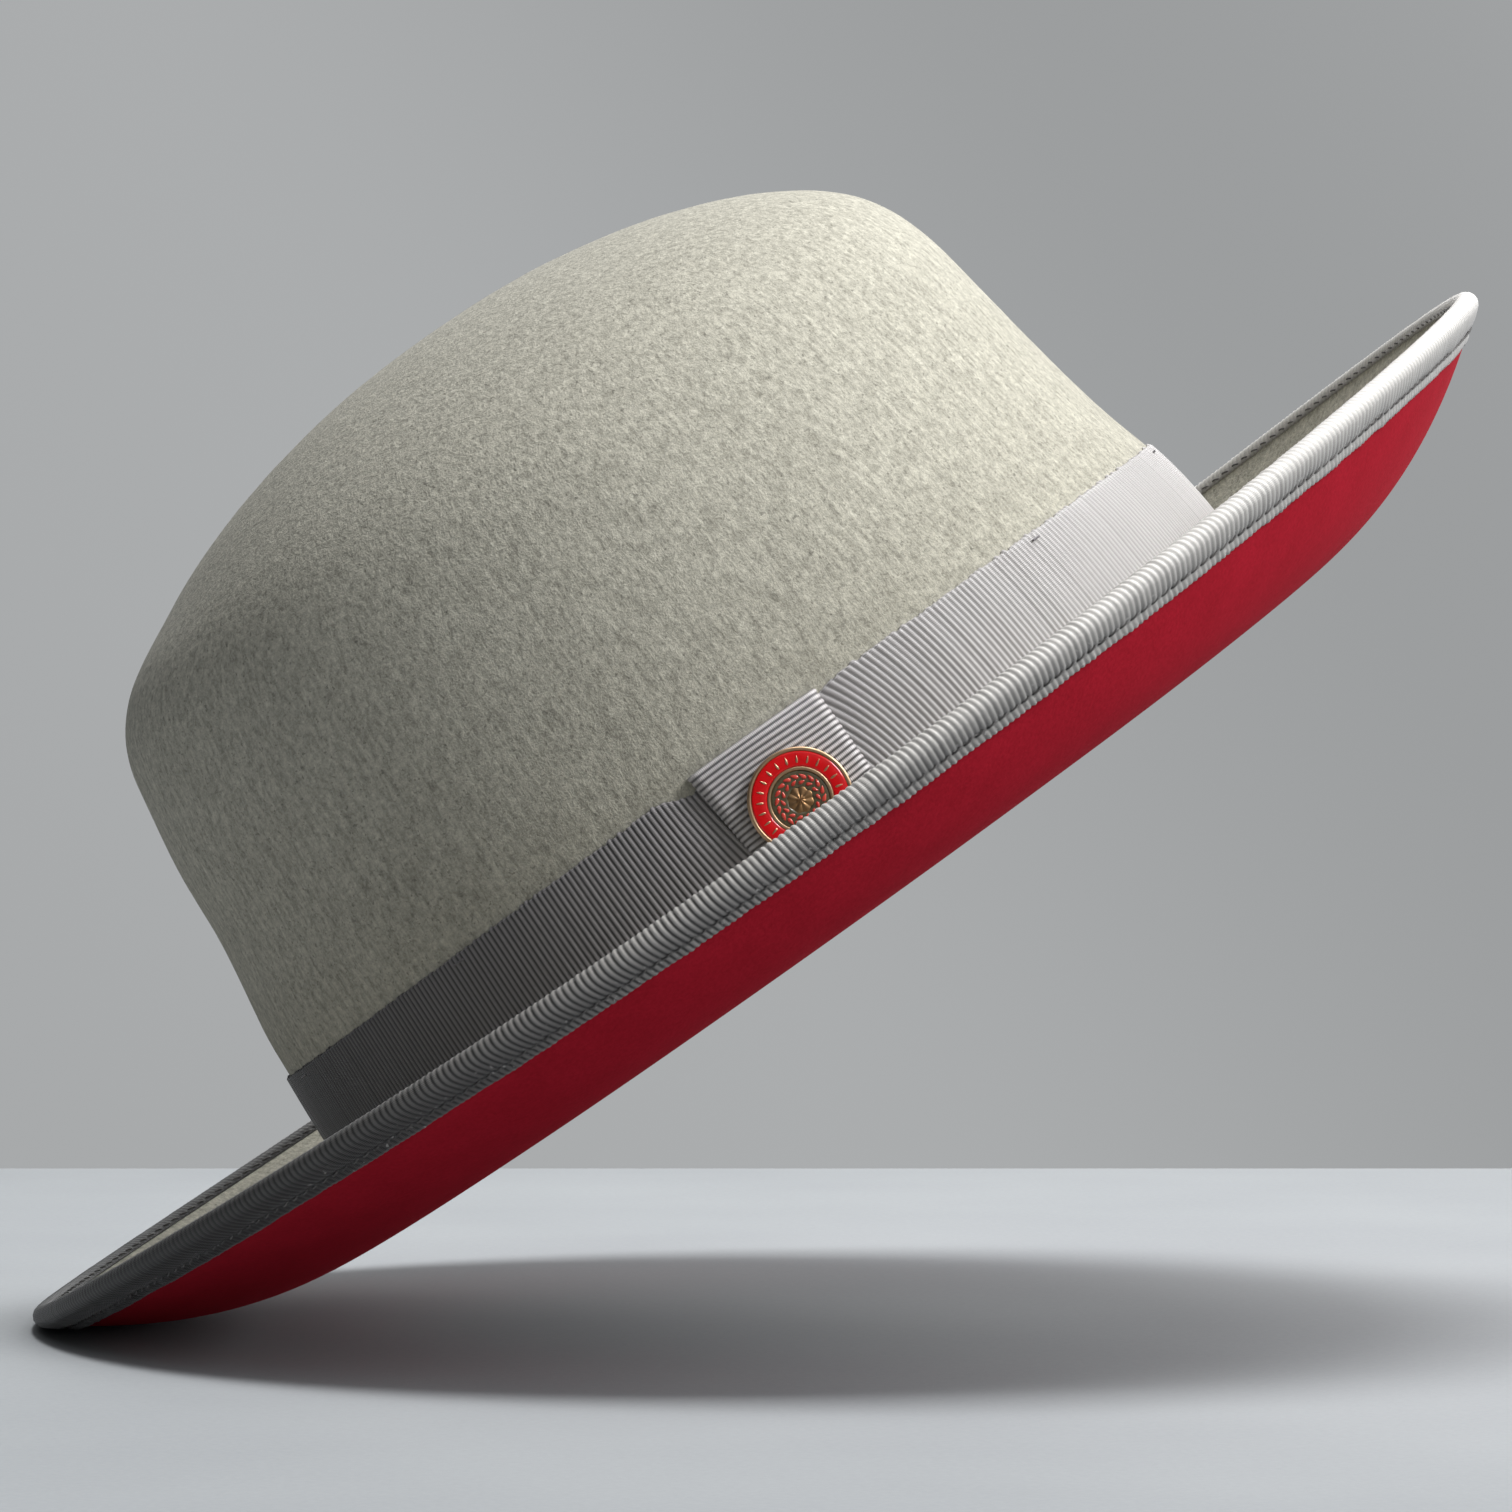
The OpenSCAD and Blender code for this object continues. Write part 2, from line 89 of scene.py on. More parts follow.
# The crown's profile, from the fold at z = 6.2 up to the pole, as rows of z, front, back, wide
# against the length along it.
_mid = np.c_[(CROWN[:, 1] + CROWN[:, 2]) / 2, CROWN[:, 0]]
_pts = np.concatenate([CROWN, [[136.4, 0.0, 0.0, 0.0]], CROWN[:-4:-1] * [1, -1, -1, -1]])
_mid = np.c_[(_pts[:, 1] + _pts[:, 2]) / 2, _pts[:, 0]]
_len = np.concatenate([[0], np.cumsum(np.linalg.norm(np.diff(_mid, axis=0), axis=1))])
TOP_S = _len[len(CROWN)]
_q = np.arange(0, _len[-1], 0.5)
_prof = soften(cubic(_len, _pts, _q), 6.0)
_n = int(round(TOP_S / 0.5)) + 1
PROF_S = np.linspace(0, TOP_S, _n)
PROF = np.stack([np.interp(PROF_S, _q, _prof[:, c]) for c in range(4)], 1)
PROF[:, 1:] -= PROF[-1, 1:] * (PROF_S / TOP_S)[:, None] ** 8
PROF_Z = PROF[:, 0]


def wall(a, z, o):
    """The crown's side wall at angle a (radians) and height z, moved outwards by o."""
    zz = np.clip(z, 6.2, 100)
    f, b, w = (np.interp(zz, PROF_Z, PROF[:, k]) for k in (1, 2, 3))
    c, s = np.cos(a), np.sin(a)
    x = (np.where(c >= 0, b, f) + o) * c
    return np.stack([x, (w + o) * s, z + 0 * x], -1)


def crown_ps(a, t):
    """The crown at angle a and length t along the profile."""
    z, f, b, w = (np.interp(t, PROF_S, PROF[:, k]) for k in range(4))
    c, s = np.cos(a), np.sin(a)
    x = np.where(c >= 0, b, f) * c
    return np.stack([x, w * s, z + 0 * x], -1)


def unit(v):
    return v / np.maximum(np.linalg.norm(v, axis=-1, keepdims=True), 1e-9)


def crown_out(a, t, o):
    """The crown moved along its outward normal by o."""
    d = 1e-3
    p = crown_ps(a, t)
    up = crown_ps(a, np.minimum(t + 0.6, TOP_S)) - crown_ps(a, np.maximum(t - 0.6, 0))
    rnd = crown_ps(a + d, np.minimum(t, TOP_S - 0.5)) - crown_ps(a - d, np.minimum(t, TOP_S - 0.5))
    n = unit(np.cross(rnd, up))
    near = np.clip((t - TOP_S + 3) / 3, 0, 1)[..., None] if np.ndim(t) else max(0.0, min(1.0, (t - TOP_S + 3) / 3))
    n = unit(n * (1 - near) + np.array([0, 0, 1.0]) * near)
    return p + n * np.asarray(o)[..., None]


def foot(a):
    p = wall(a, 6.2 + 0 * a, BREAK_R + 3)
    p[..., 2] = 0
    return p


def rim(a):
    return np.stack([(RIM_LEN - 1.3) * np.cos(a), (RIM_WID - 1.0) * np.sin(a), 0 * a], -1)


def mixed(a, ends, side):
    return side + (ends - side) * np.cos(a) ** 2


def brim(a, f, o, e=0.0):
    """Share f of the brim's width at angle a, lifted off the underside by o, and e further out."""
    a, f, o, e = np.broadcast_arrays(*(np.asarray(v, float) for v in (a, f, o, e)))
    p0, p1 = foot(a), rim(a)
    w = np.linalg.norm(p1 - p0, axis=-1)
    d = (p1 - p0) / w[..., None]
    h, k = mixed(a, END_H, SIDE_H), mixed(a, CURL_END, CURL_SIDE)
    sl = h * k * np.maximum(f, 1e-4) ** (k - 1) / w
    n = 1 / np.sqrt(1 + sl**2)
    s = f * w - o * sl * n + e * n
    z = h * np.maximum(f, 0) ** k + o * n + e * sl * n
    p = p0 + d * s[..., None]
    p[..., 2] += z
    return p


def brim_w(a):
    return np.linalg.norm(rim(a) - foot(a), axis=-1)


# Value noise on an integer lattice, the same every run.
def _hash(ix, iy, iz, seed):
    with np.errstate(over="ignore"):
        h = (ix.astype(np.uint32) * np.uint32(374761393) + iy.astype(np.uint32) * np.uint32(668265263)
             + iz.astype(np.uint32) * np.uint32(2147483647) + np.uint32(seed * 97 + 13) * np.uint32(1274126177))
        h = (h ^ (h >> np.uint32(13))) * np.uint32(1274126177)
        h = h ^ (h >> np.uint32(16))
    return h.astype(float) / 4294967295.0 * 2 - 1


def noise(p, scale, seed=0):
    """Smooth noise from -1 to 1 at points p in mm, with features of about `scale` mm."""
    q = p / scale + 1000.0
    i = np.floor(q).astype(np.int64)
    f = q - i
    f = f * f * f * (f * (f * 6 - 15) + 10)
    out = 0
    for dx in (0, 1):
        for dy in (0, 1):
            for dz in (0, 1):
                w = (f[..., 0] if dx else 1 - f[..., 0]) * (f[..., 1] if dy else 1 - f[..., 1]) * (f[..., 2] if dz else 1 - f[..., 2])
                out = out + w * _hash(i[..., 0] + dx, i[..., 1] + dy, i[..., 2] + dz, seed)
    return out


# ---------------------------------------------------------------------------
# Meshes
# ---------------------------------------------------------------------------


def make(name, verts, quads=(), tris=(), uv=None, smooth=True):
    """A mesh object from points in mm and arrays of corner indices."""
    verts = np.asarray(verts, float).reshape(-1, 3) * MM
    quads, tris = np.asarray(quads, np.int64).reshape(-1, 4), np.asarray(tris, np.int64).reshape(-1, 3)
    me = bpy.data.meshes.new(name)
    loops = np.concatenate([quads.ravel(), tris.ravel()]).astype(np.int32)
    me.vertices.add(len(verts))
    me.vertices.foreach_set("co", verts.astype(np.float32).ravel())
    me.loops.add(len(loops))
    me.loops.foreach_set("vertex_index", loops)
    start = np.concatenate([np.arange(len(quads)) * 4, len(quads) * 4 + np.arange(len(tris)) * 3]).astype(np.int32)
    me.polygons.add(len(quads) + len(tris))
    me.polygons.foreach_set("loop_start", start)
    me.update(calc_edges=True)
    me.validate()
    me.polygons.foreach_set("use_smooth", np.full(len(me.polygons), smooth))
    if uv is not None:
        layer = me.uv_layers.new(name="Cloth")
        layer.data.foreach_set("uv", np.asarray(uv, np.float32)[loops].ravel())
    me.update()
    ob = bpy.data.objects.new(name, me)
    bpy.context.collection.objects.link(ob)
    return ob


def grid_quads(nu, nv, wrap_u=True, wrap_v=True, base=0):
    """Quads over a grid whose point (i, j) is number base + i * nv + j, i round the hat."""
    i = np.arange(nu if wrap_u else nu - 1)[:, None]
    j = np.arange(nv if wrap_v else nv - 1)[None, :]
    i2, j2 = (i + 1) % nu, (j + 1) % nv
    q = np.stack([i * nv + j, i2 * nv + j, i2 * nv + j2, i * nv + j2], -1).reshape(-1, 4) + base
    return q


def even_angles(curve, n, shift=0.0):
    """n angles spaced evenly by length round a closed curve(a), from angle `shift`."""
    a = np.linspace(0, 2 * math.pi, 4001)
    p = curve(a + shift)
    s = np.concatenate([[0], np.cumsum(np.linalg.norm(np.diff(p, axis=0), axis=1))])
    return np.interp(np.linspace(0, s[-1], n, endpoint=False), s, a) + shift, s[-1]


def outward(grid, wrap=True):
    """Unit normals of a grid of points, [i round, j along]."""
    du = (np.roll(grid, -1, 0) - np.roll(grid, 1, 0)) if wrap else np.gradient(grid, axis=0)
    dv = np.gradient(grid, axis=1)
    return unit(np.cross(du, dv))


def tube(points, r, sides=8, closed=True):
    """Points and quads of a tube round a line of points (n, 3), with radius r or (n,)."""
    p = np.asarray(points, float)
    n = len(p)
    t = unit(np.roll(p, -1, 0) - np.roll(p, 1, 0)) if closed else unit(np.gradient(p, axis=0))
    up = np.array([0, 0, 1.0])
    x = unit(np.cross(t, up))
    y = np.cross(x, t)
    k = np.arange(sides) * 2 * math.pi / sides
    r = np.broadcast_to(np.asarray(r, float), (n,))
    ring = p[:, None] + r[:, None, None] * (np.cos(k)[None, :, None] * x[:, None] + np.sin(k)[None, :, None] * y[:, None])
    q = grid_quads(n, sides, wrap_u=closed)
    tris = []
    pts = ring.reshape(-1, 3)
    if not closed:
        pts = np.concatenate([pts, p[:1], p[-1:]])
        for s in range(sides):
            tris.append((n * sides, s, (s + 1) % sides))
            tris.append((n * sides + 1, (n - 1) * sides + (s + 1) % sides, (n - 1) * sides + s))
    return pts, q, tris


class Heap:
    """Collects many small solids into one object."""

    def __init__(self):
        self.v, self.q, self.t, self.n = [], [], [], 0

    def add(self, v, q=(), t=()):
        v = np.asarray(v, float).reshape(-1, 3)
        self.v.append(v)
        if len(q):
            self.q.append(np.asarray(q).reshape(-1, 4) + self.n)
        if len(t):
            self.t.append(np.asarray(t).reshape(-1, 3) + self.n)
        self.n += len(v)

    def build(self, name, smooth=True):
        return make(name, np.concatenate(self.v), np.concatenate(self.q) if self.q else (), np.concatenate(self.t) if self.t else (), smooth=smooth)


def fix_normals(ob):
    """Faces point out of the solid."""
    me = ob.data
    me.calc_loop_triangles()
    v = np.zeros(len(me.vertices) * 3)
    me.vertices.foreach_get("co", v)
    v = v.reshape(-1, 3)
    t = np.zeros(len(me.loop_triangles) * 3, np.int32)
    me.loop_triangles.foreach_get("vertices", t)
    a, b, c = (v[t.reshape(-1, 3)[:, k]] for k in range(3))
    if np.einsum("ij,ij->i", a, np.cross(b, c)).sum() < 0:
        me.flip_normals()
    return ob


# ---------------------------------------------------------------------------
# Materials
# ---------------------------------------------------------------------------


class Mat:
    """A small helper for node materials."""

    def __init__(self, name, **sockets):
        self.m = bpy.data.materials.new(name)
        self.m.use_nodes = True
        self.t = self.m.node_tree
        self.b = self.t.nodes["Principled BSDF"]
        for k, v in sockets.items():
            self.b.inputs[k.replace("_", " ")].default_value = v

    def node(self, kind, **props):
        n = self.t.nodes.new("ShaderNode" + kind)
        for k, v in props.items():
            if k.startswith("in_"):
                key = k[3:]
                n.inputs[int(key) if key.isdigit() else key.replace("_", " ")].default_value = v
            else:
                setattr(n, k, v)
        return n

    def link(self, a, b):
        self.t.links.new(a, b)

    def coords(self, scale=(1, 1, 1), rot=(0, 0, 0), uv=False):
        """Object coordinates in millimetres, scaled; or the cloth map in millimetres."""
        n = self.node("UVMap", uv_map="Cloth") if uv else self.node("TexCoord")
        m = self.node("Mapping")
        k = 1.0 if uv else 1000.0
        m.inputs["Scale"].default_value = tuple(k * s for s in scale)
        m.inputs["Rotation"].default_value = rot
        self.link(n.outputs["UV" if uv else "Object"], m.inputs["Vector"])
        return m.outputs["Vector"]

    def noise(self, vec, size, detail=3.0, rough=0.55, distort=0.0):
        n = self.node("TexNoise")
        n.inputs["Scale"].default_value = 1.0 / size
        n.inputs["Detail"].default_value = detail
        n.inputs["Roughness"].default_value = rough
        n.inputs["Distortion"].default_value = distort
        self.link(vec, n.inputs["Vector"])
        return n.outputs["Fac"]

    def ramp(self, fac, stops):
        r = self.node("ValToRGB")
        e = r.color_ramp.elements
        while len(e) < len(stops):
            e.new(0.5)
        for el, (pos, col) in zip(e, stops):
            el.position = pos
            el.color = (*col, 1) if not np.isscalar(col) else (col, col, col, 1)
        self.link(fac, r.inputs["Fac"])
        return r.outputs["Color"]

    def mix(self, fac, a, b, kind="MIX"):
        n = self.node("Mix", data_type="RGBA", blend_type=kind)
        for sock, v in ((n.inputs[0], fac), (n.inputs[6], a), (n.inputs[7], b)):
            if hasattr(v, "is_linked"):
                self.link(v, sock)
            else:
                sock.default_value = v if np.isscalar(v) else (*v, 1)
        return n.outputs[2]

    def math(self, op, a, b=0.5, c=None):
        n = self.node("Math", operation=op)
        for sock, v in zip(n.inputs, (a, b) if c is None else (a, b, c)):
            if hasattr(v, "is_linked"):
                self.link(v, sock)
            else:
                sock.default_value = v
        return n.outputs[0]

    def bump(self, height, dist_mm, strength=1.0, normal=None):
        n = self.node("Bump")
        n.inputs["Strength"].default_value = strength
        n.inputs["Distance"].default_value = dist_mm * MM
        self.link(height, n.inputs["Height"])
        if normal is not None:
            self.link(normal, n.inputs["Normal"])
        return n.outputs["Normal"]

    def to(self, socket, out):
        self.link(out, self.b.inputs[socket])
        return self


def lin(r, g, b):
    """An sRGB colour from 0 to 255 as linear."""
    return tuple((c / 255 / 12.92 if c / 255 <= 0.04045 else ((c / 255 + 0.055) / 1.055) ** 2.4) for c in (r, g, b))


def felt_material():
    m = Mat("grey_felt", Roughness=0.95, Sheen_Weight=0.12, Sheen_Roughness=0.5, Specular_IOR_Level=0.12)
    v = m.coords()
    speck = m.noise(v, 1.15, 4.0, 0.66, 0.5)
    fine = m.noise(v, 0.42, 2.0, 0.6)
    broad = m.noise(v, 26.0, 2.0, 0.5)
    fleck = m.noise(v, 0.8, 2.0, 0.5)
    streak = m.noise(m.coords((1.0, 1.0, 0.2), (0.35, 0.3, 0.0)), 1.1, 3.0, 0.62)
    base = m.ramp(speck, [(0.30, lin(128, 126, 116)), (0.48, lin(178, 175, 163)), (0.68, lin(214, 211, 198))])
    base = m.mix(0.42, base, m.ramp(streak, [(0.34, lin(134, 131, 121)), (0.64, lin(212, 209, 196))]))
    base = m.mix(0.15, base, m.ramp(broad, [(0.35, lin(172, 169, 157)), (0.7, lin(194, 191, 179))]))
    base = m.mix(0.20, base, m.ramp(fine, [(0.35, lin(118, 116, 108)), (0.68, lin(226, 223, 212))]), "OVERLAY")
    # darker hairs scattered through the wool
    base = m.mix(m.ramp(fleck, [(0.29, 0.6), (0.37, 0.0)]), base, lin(112, 110, 101))
    m.to("Base Color", base)
    h = m.math("ADD", m.math("MULTIPLY", speck, 0.8), m.math("ADD", m.math("MULTIPLY", fine, 0.5), m.math("MULTIPLY", streak, 0.6)))
    m.to("Normal", m.bump(h, 0.34, 0.75))
    return m.m


def red_material():
    m = Mat("red_felt", Roughness=0.9, Sheen_Weight=0.12, Sheen_Roughness=0.5, Specular_IOR_Level=0.06)
    m.b.inputs["Sheen Tint"].default_value = (*lin(230, 30, 50), 1)
    v = m.coords()
    a, b = m.noise(v, 0.8, 3.0, 0.6), m.noise(v, 9.0, 2.0, 0.5)
    c = m.ramp(a, [(0.3, lin(150, 24, 38)), (0.7, lin(176, 31, 48))])
    c = m.mix(0.4, c, m.ramp(b, [(0.35, lin(149, 22, 36)), (0.7, lin(168, 27, 44))]))
    m.to("Base Color", c)
    m.to("Normal", m.bump(a, 0.10, 0.6))
    return m.m


def ribbon_material(name, rib_valley_shade, light, pitch, along, rough=0.42, spec=0.9, sheen=0.3, across=None, shade_and_light_along_hat=None):
    """Grosgrain. `along` is the map axis that runs along the ribbon, across the ribs; the other runs down each rib."""
    m = Mat(name, Roughness=rough, Sheen_Weight=sheen, Sheen_Roughness=0.35, Specular_IOR_Level=spec)
    uv = m.coords(uv=True)
    s = m.node("SeparateXYZ")
    m.link(uv, s.inputs[0])
    x, y = (s.outputs[0], s.outputs[1]) if along == 0 else (s.outputs[1], s.outputs[0])
    # ribs: 0 in the valley and 1 on the crest; the colour runs from painted shade in the valleys to the light colour on
    # the crests
    rib = m.math("MULTIPLY_ADD", m.math("COSINE", m.math("MULTIPLY", x, 2 * math.pi / pitch)), -0.5, 0.5)
    thread = m.math("MULTIPLY_ADD", m.math("COSINE", m.math("MULTIPLY", y, 2 * math.pi / 0.34)), -0.5, 0.5)
    n = m.noise(m.coords(), 0.6, 2.0, 0.6)
    broad = m.noise(m.coords(), 14.0, 2.0, 0.5)
    f = m.math("ADD", m.math("MULTIPLY", rib, 0.82), m.math("MULTIPLY", m.math("MULTIPLY", thread, rib), 0.18))
    c = m.ramp(f, [(0.05, rib_valley_shade), (0.40, tuple(0.4 * d + 0.6 * l for d, l in zip(rib_valley_shade, light))), (0.8, light)])
    c = m.mix(0.25, c, m.ramp(n, [(0.3, tuple(0.62 * l for l in light)), (0.7, tuple(min(1, 1.15 * l) for l in light))]), "OVERLAY")
    c = m.mix(0.15, c, m.ramp(broad, [(0.3, tuple(0.7 * l for l in light)), (0.7, tuple(min(1, 1.1 * l) for l in light))]))
    if shade_and_light_along_hat:
        # painted shade darkens the ribbon to charcoal towards the front of the hat, and painted light makes it paler
        # towards the back
        o = m.node("SeparateXYZ")
        m.link(m.coords(), o.inputs[0])
        f = m.math("MULTIPLY_ADD", o.outputs[0], 1 / 340, 0.5)
        front, back, back_painted_light, front_painted_shade = shade_and_light_along_hat
        c = m.mix(1.0, c, m.ramp(f, [(0.0, front), (0.48, 1.0)]), "MULTIPLY")
        c = m.mix(m.ramp(f, [(0.05, 0.88), (0.22, 0.62), (0.38, 0.0)]), c, front_painted_shade)
        c = m.mix(m.ramp(f, [(0.44, 0.0), (0.68, back)]), c, back_painted_light)
    if across:
        # painted shade: darker along the upper edge, under the roll where the ribbon turns under, and most in the sewn
        # groove; with rubbed specks
        f = m.math("MULTIPLY", m.math("ADD", y, m.math("MULTIPLY_ADD", n, 1.6, -0.8)), 1 / 18)
        c = m.mix(1.0, c, m.ramp(f, across), "MULTIPLY")
        rub = m.noise(m.coords(), 1.1, 2.0, 0.55)
        c = m.mix(m.math("MULTIPLY", m.ramp(rub, [(0.66, 0.0), (0.72, 0.6)]), m.ramp(f, [(0.62, 0.0), (0.70, 1.0)])), c, light)
    m.to("Base Color", c)
    h = m.math("ADD", thread, m.math("MULTIPLY", n, 0.6))
    m.to("Normal", m.bump(h, 0.08, 0.7))
    return m.m


def metal_material(name, col, rough, scratch=0.3):
    m = Mat(name, Metallic=1.0)
    v = m.coords()
    n, f = m.noise(v, 3.0, 3.0, 0.6), m.noise(v, 0.25, 2.0, 0.6)
    m.to("Base Color", m.ramp(n, [(0.3, tuple(0.82 * c for c in col)), (0.7, col)]))
    m.to("Roughness", m.math("MULTIPLY_ADD", f, 0.25, rough - 0.1))
    m.to("Normal", m.bump(f, 0.02, scratch))
    return m.m


def enamel_material(name, a, b, rough=0.12, size=1.6):
    m = Mat(name, Coat_Weight=0.8, Coat_Roughness=0.06)
    v = m.coords()
    n = m.noise(v, size, 2.0, 0.5)
    m.to("Base Color", m.ramp(n, [(0.3, a), (0.7, b)]))
    m.to("Roughness", m.math("MULTIPLY_ADD", n, 0.12, rough))
    m.to("Normal", m.bump(n, 0.03, 0.3))
    return m.m


def cloth_material(name, a, b, size=0.35, rough=0.7, sheen=0.3, bump=0.08):
    m = Mat(name, Roughness=rough, Sheen_Weight=sheen, Sheen_Roughness=0.4)
    v = m.coords()
    w1 = m.node("TexWave", wave_type="BANDS", bands_direction="DIAGONAL")
    w1.inputs["Scale"].default_value = 1.0 / size / 6.0
    w1.inputs["Distortion"].default_value = 0.6
    m.link(v, w1.inputs["Vector"])
    n = m.noise(v, 6.0, 3.0, 0.6)
    c = m.mix(0.35, m.ramp(n, [(0.3, a), (0.7, b)]), m.ramp(w1.outputs["Fac"], [(0.2, a), (0.8, b)]))
    m.to("Base Color", c)
    m.to("Normal", m.bump(w1.outputs["Fac"], bump, 0.6))
    return m.m


def satin_material():
    m = Mat("lining_satin", Roughness=0.32, Anisotropic=0.5, Sheen_Weight=0.15, Specular_IOR_Level=0.6)
    v = m.coords((1, 1, 3.0))
    n, f = m.noise(m.coords(), 18.0, 3.0, 0.5), m.noise(v, 0.3, 2.0, 0.6)
    m.to("Base Color", m.ramp(n, [(0.3, lin(52, 54, 60)), (0.7, lin(80, 82, 90))]))
    m.to("Roughness", m.math("MULTIPLY_ADD", f, 0.2, 0.24))
    m.to("Normal", m.bump(f, 0.05, 0.5))
    return m.m


def film_material():
    m = Mat("clear_film", Transmission_Weight=1.0, IOR=1.12, Specular_IOR_Level=0.6)
    m.b.inputs["Base Color"].default_value = (0.93, 0.95, 0.96, 1)
    n = m.noise(m.coords((1, 3, 1)), 2.5, 3.0, 0.6)
    m.to("Roughness", m.math("MULTIPLY_ADD", n, 0.12, 0.02))
    m.to("Normal", m.bump(n, 0.02, 0.2))
    m.to("Base Color", m.ramp(n, [(0.3, (0.90, 0.93, 0.94)), (0.7, (0.96, 0.97, 0.975))]))
    return m.m


def leather_material():
    m = Mat("sweat_leather", Specular_IOR_Level=0.45)
    v = m.coords()
    vo = m.node("TexVoronoi", feature="DISTANCE_TO_EDGE")
    vo.inputs["Scale"].default_value = 1.0 / 0.9
    m.link(v, vo.inputs["Vector"])
    n, f = m.noise(v, 12.0, 3.0, 0.55), m.noise(v, 0.4, 3.0, 0.6)
    grain = m.ramp(vo.outputs["Distance"], [(0.0, 0.0), (0.22, 1.0)])
    c = m.ramp(n, [(0.3, lin(44, 37, 33)), (0.7, lin(72, 60, 52))])
    c = m.mix(0.35, c, m.ramp(vo.outputs["Distance"], [(0.0, lin(26, 21, 19)), (0.25, lin(74, 62, 54))]))
    m.to("Base Color", c)
    m.to("Roughness", m.math("MULTIPLY_ADD", f, 0.25, 0.38))
    m.to("Normal", m.bump(m.math("ADD", grain, m.math("MULTIPLY", f, 0.5)), 0.10, 0.6))
    return m.m


FELT = felt_material()
RED = red_material()
# the band's and the binding's last tuples paint shade towards the front and light towards the back
RIBBON = ribbon_material("ribbon", lin(34, 32, 34), lin(182, 178, 180), 1.10, 0, 0.42, 0.8, 0.35, None, (0.34, 0.60, lin(206, 202, 200), lin(38, 37, 38)))
KNOT = ribbon_material("ribbon_knot", lin(14, 13, 15), lin(216, 211, 212), 1.12, 0, 0.42, 0.9, 0.3)
# the binding's list of stops is painted shade across it, under the roll and in the sewn groove
BINDING = ribbon_material("ribbon_binding", lin(30, 29, 29), lin(212, 208, 204), 1.30, 0, 0.45, 0.6, 0.3,
                          [(0.0, 0.4), (0.2, 0.8), (0.30, 1.0), (0.48, 1.0), (0.60, 0.55), (0.72, 0.36), (0.76, 0.24), (0.80, 0.24), (0.84, 0.50), (1.0, 0.42)], (0.18, 0.70, lin(240, 236, 231), lin(30, 29, 28)))
THREAD = cloth_material("thread", lin(60, 58, 58), lin(112, 109, 106), 0.12, 0.6, 0.2, 0.05)
DARK_THREAD = cloth_material("dark_thread", lin(22, 21, 21), lin(44, 42, 41), 0.12, 0.55, 0.2, 0.05)
GOLD = metal_material("badge_gold", lin(222, 186, 150), 0.34)
BRONZE = metal_material("badge_bronze", lin(168, 132, 96), 0.40, 0.6)
RIBBON_PLAIN = cloth_material("ribbon_stitch", lin(96, 93, 96), lin(132, 128, 132), 0.15, 0.55, 0.15, 0.04)
ENAMEL_RED = enamel_material("enamel_red", lin(222, 4, 14), lin(236, 8, 20))
ENAMEL_DARK = enamel_material("enamel_bronze", lin(78, 70, 50), lin(100, 90, 64), 0.3, 0.6)
ENAMEL_CORAL = enamel_material("enamel_coral", lin(206, 52, 44), lin(232, 84, 70), 0.2)
STEEL = metal_material("pin_steel", lin(205, 203, 198), 0.28)
BRASS = metal_material("clutch_brass", lin(212, 176, 108), 0.34)
REED = enamel_material("reed_plastic", lin(206, 202, 188), lin(222, 218, 205), 0.4)
BUCKRAM = cloth_material("buckram", lin(110, 106, 100), lin(150, 145, 136), 0.8, 0.9, 0.1, 0.15)
SATIN = satin_material()
LEATHER = leather_material()
SATIN_RIBBON = cloth_material("bow_ribbon", lin(38, 38, 42), lin(66, 66, 72), 0.22, 0.38, 0.3, 0.05)
FILM = film_material()
PIPING = cloth_material("piping", lin(112, 12, 28), lin(150, 20, 40), 0.3, 0.45, 0.3)
TAG = cloth_material("tag_cloth", lin(214, 210, 196), lin(232, 229, 218), 0.4, 0.8, 0.2)


def finish_piece(ob, mat, nodes=(), body="hat"):
    ob.data.materials.clear()
    ob.data.materials.append(mat)
    fix_normals(ob)
    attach(ob, body)
    if nodes:
        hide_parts(*nodes)
    return ob


def paint(node, mat):
    """A finer material on a CAD node that stays as it is."""
    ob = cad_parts[node]
    if not ob.material_slots:
        ob.data.materials.append(None)
    for s in ob.material_slots:
        s.link = "OBJECT"
        s.material = mat
    return ob


# ---------------------------------------------------------------------------
# Camera, at the photograph's angle. The hat stays level, so the camera rolls.
# ---------------------------------------------------------------------------

TIP_Z = 25.6
FLOOR_BACK = 430.0     # the floor ends this far behind the front tip, where the wall begins
ROLL = math.radians(35.436)
CAM = np.array([-84.0, -1130.0, TIP_Z + 21.0])
AIM = np.array([5.4, 0.0, TIP_Z + 7.5])
FOCAL_D = 1132.0
fwd = unit(AIM - CAM)
right0 = unit(np.cross(fwd, [0, 0, 1.0]))
up0 = np.cross(right0, fwd)
R_IMG = math.cos(ROLL) * right0 - math.sin(ROLL) * up0
U_IMG = math.cos(ROLL) * up0 + math.sin(ROLL) * right0
cam_data = bpy.data.cameras.new("camera")
cam = bpy.data.objects.new("camera", cam_data)
bpy.context.collection.objects.link(cam)
rot = Matrix([list(R_IMG), list(U_IMG), list(-fwd)]).transposed()
cam.matrix_world = Matrix.Translation(Vector(CAM * MM)) @ rot.to_4x4()
cam_data.sensor_width = 36.0
cam_data.lens = 36.0 * FOCAL_D / 293.9
cam_data.clip_start, cam_data.clip_end = 0.05, 50
bpy.context.scene.camera = cam

# ---------------------------------------------------------------------------
# Felt
# ---------------------------------------------------------------------------


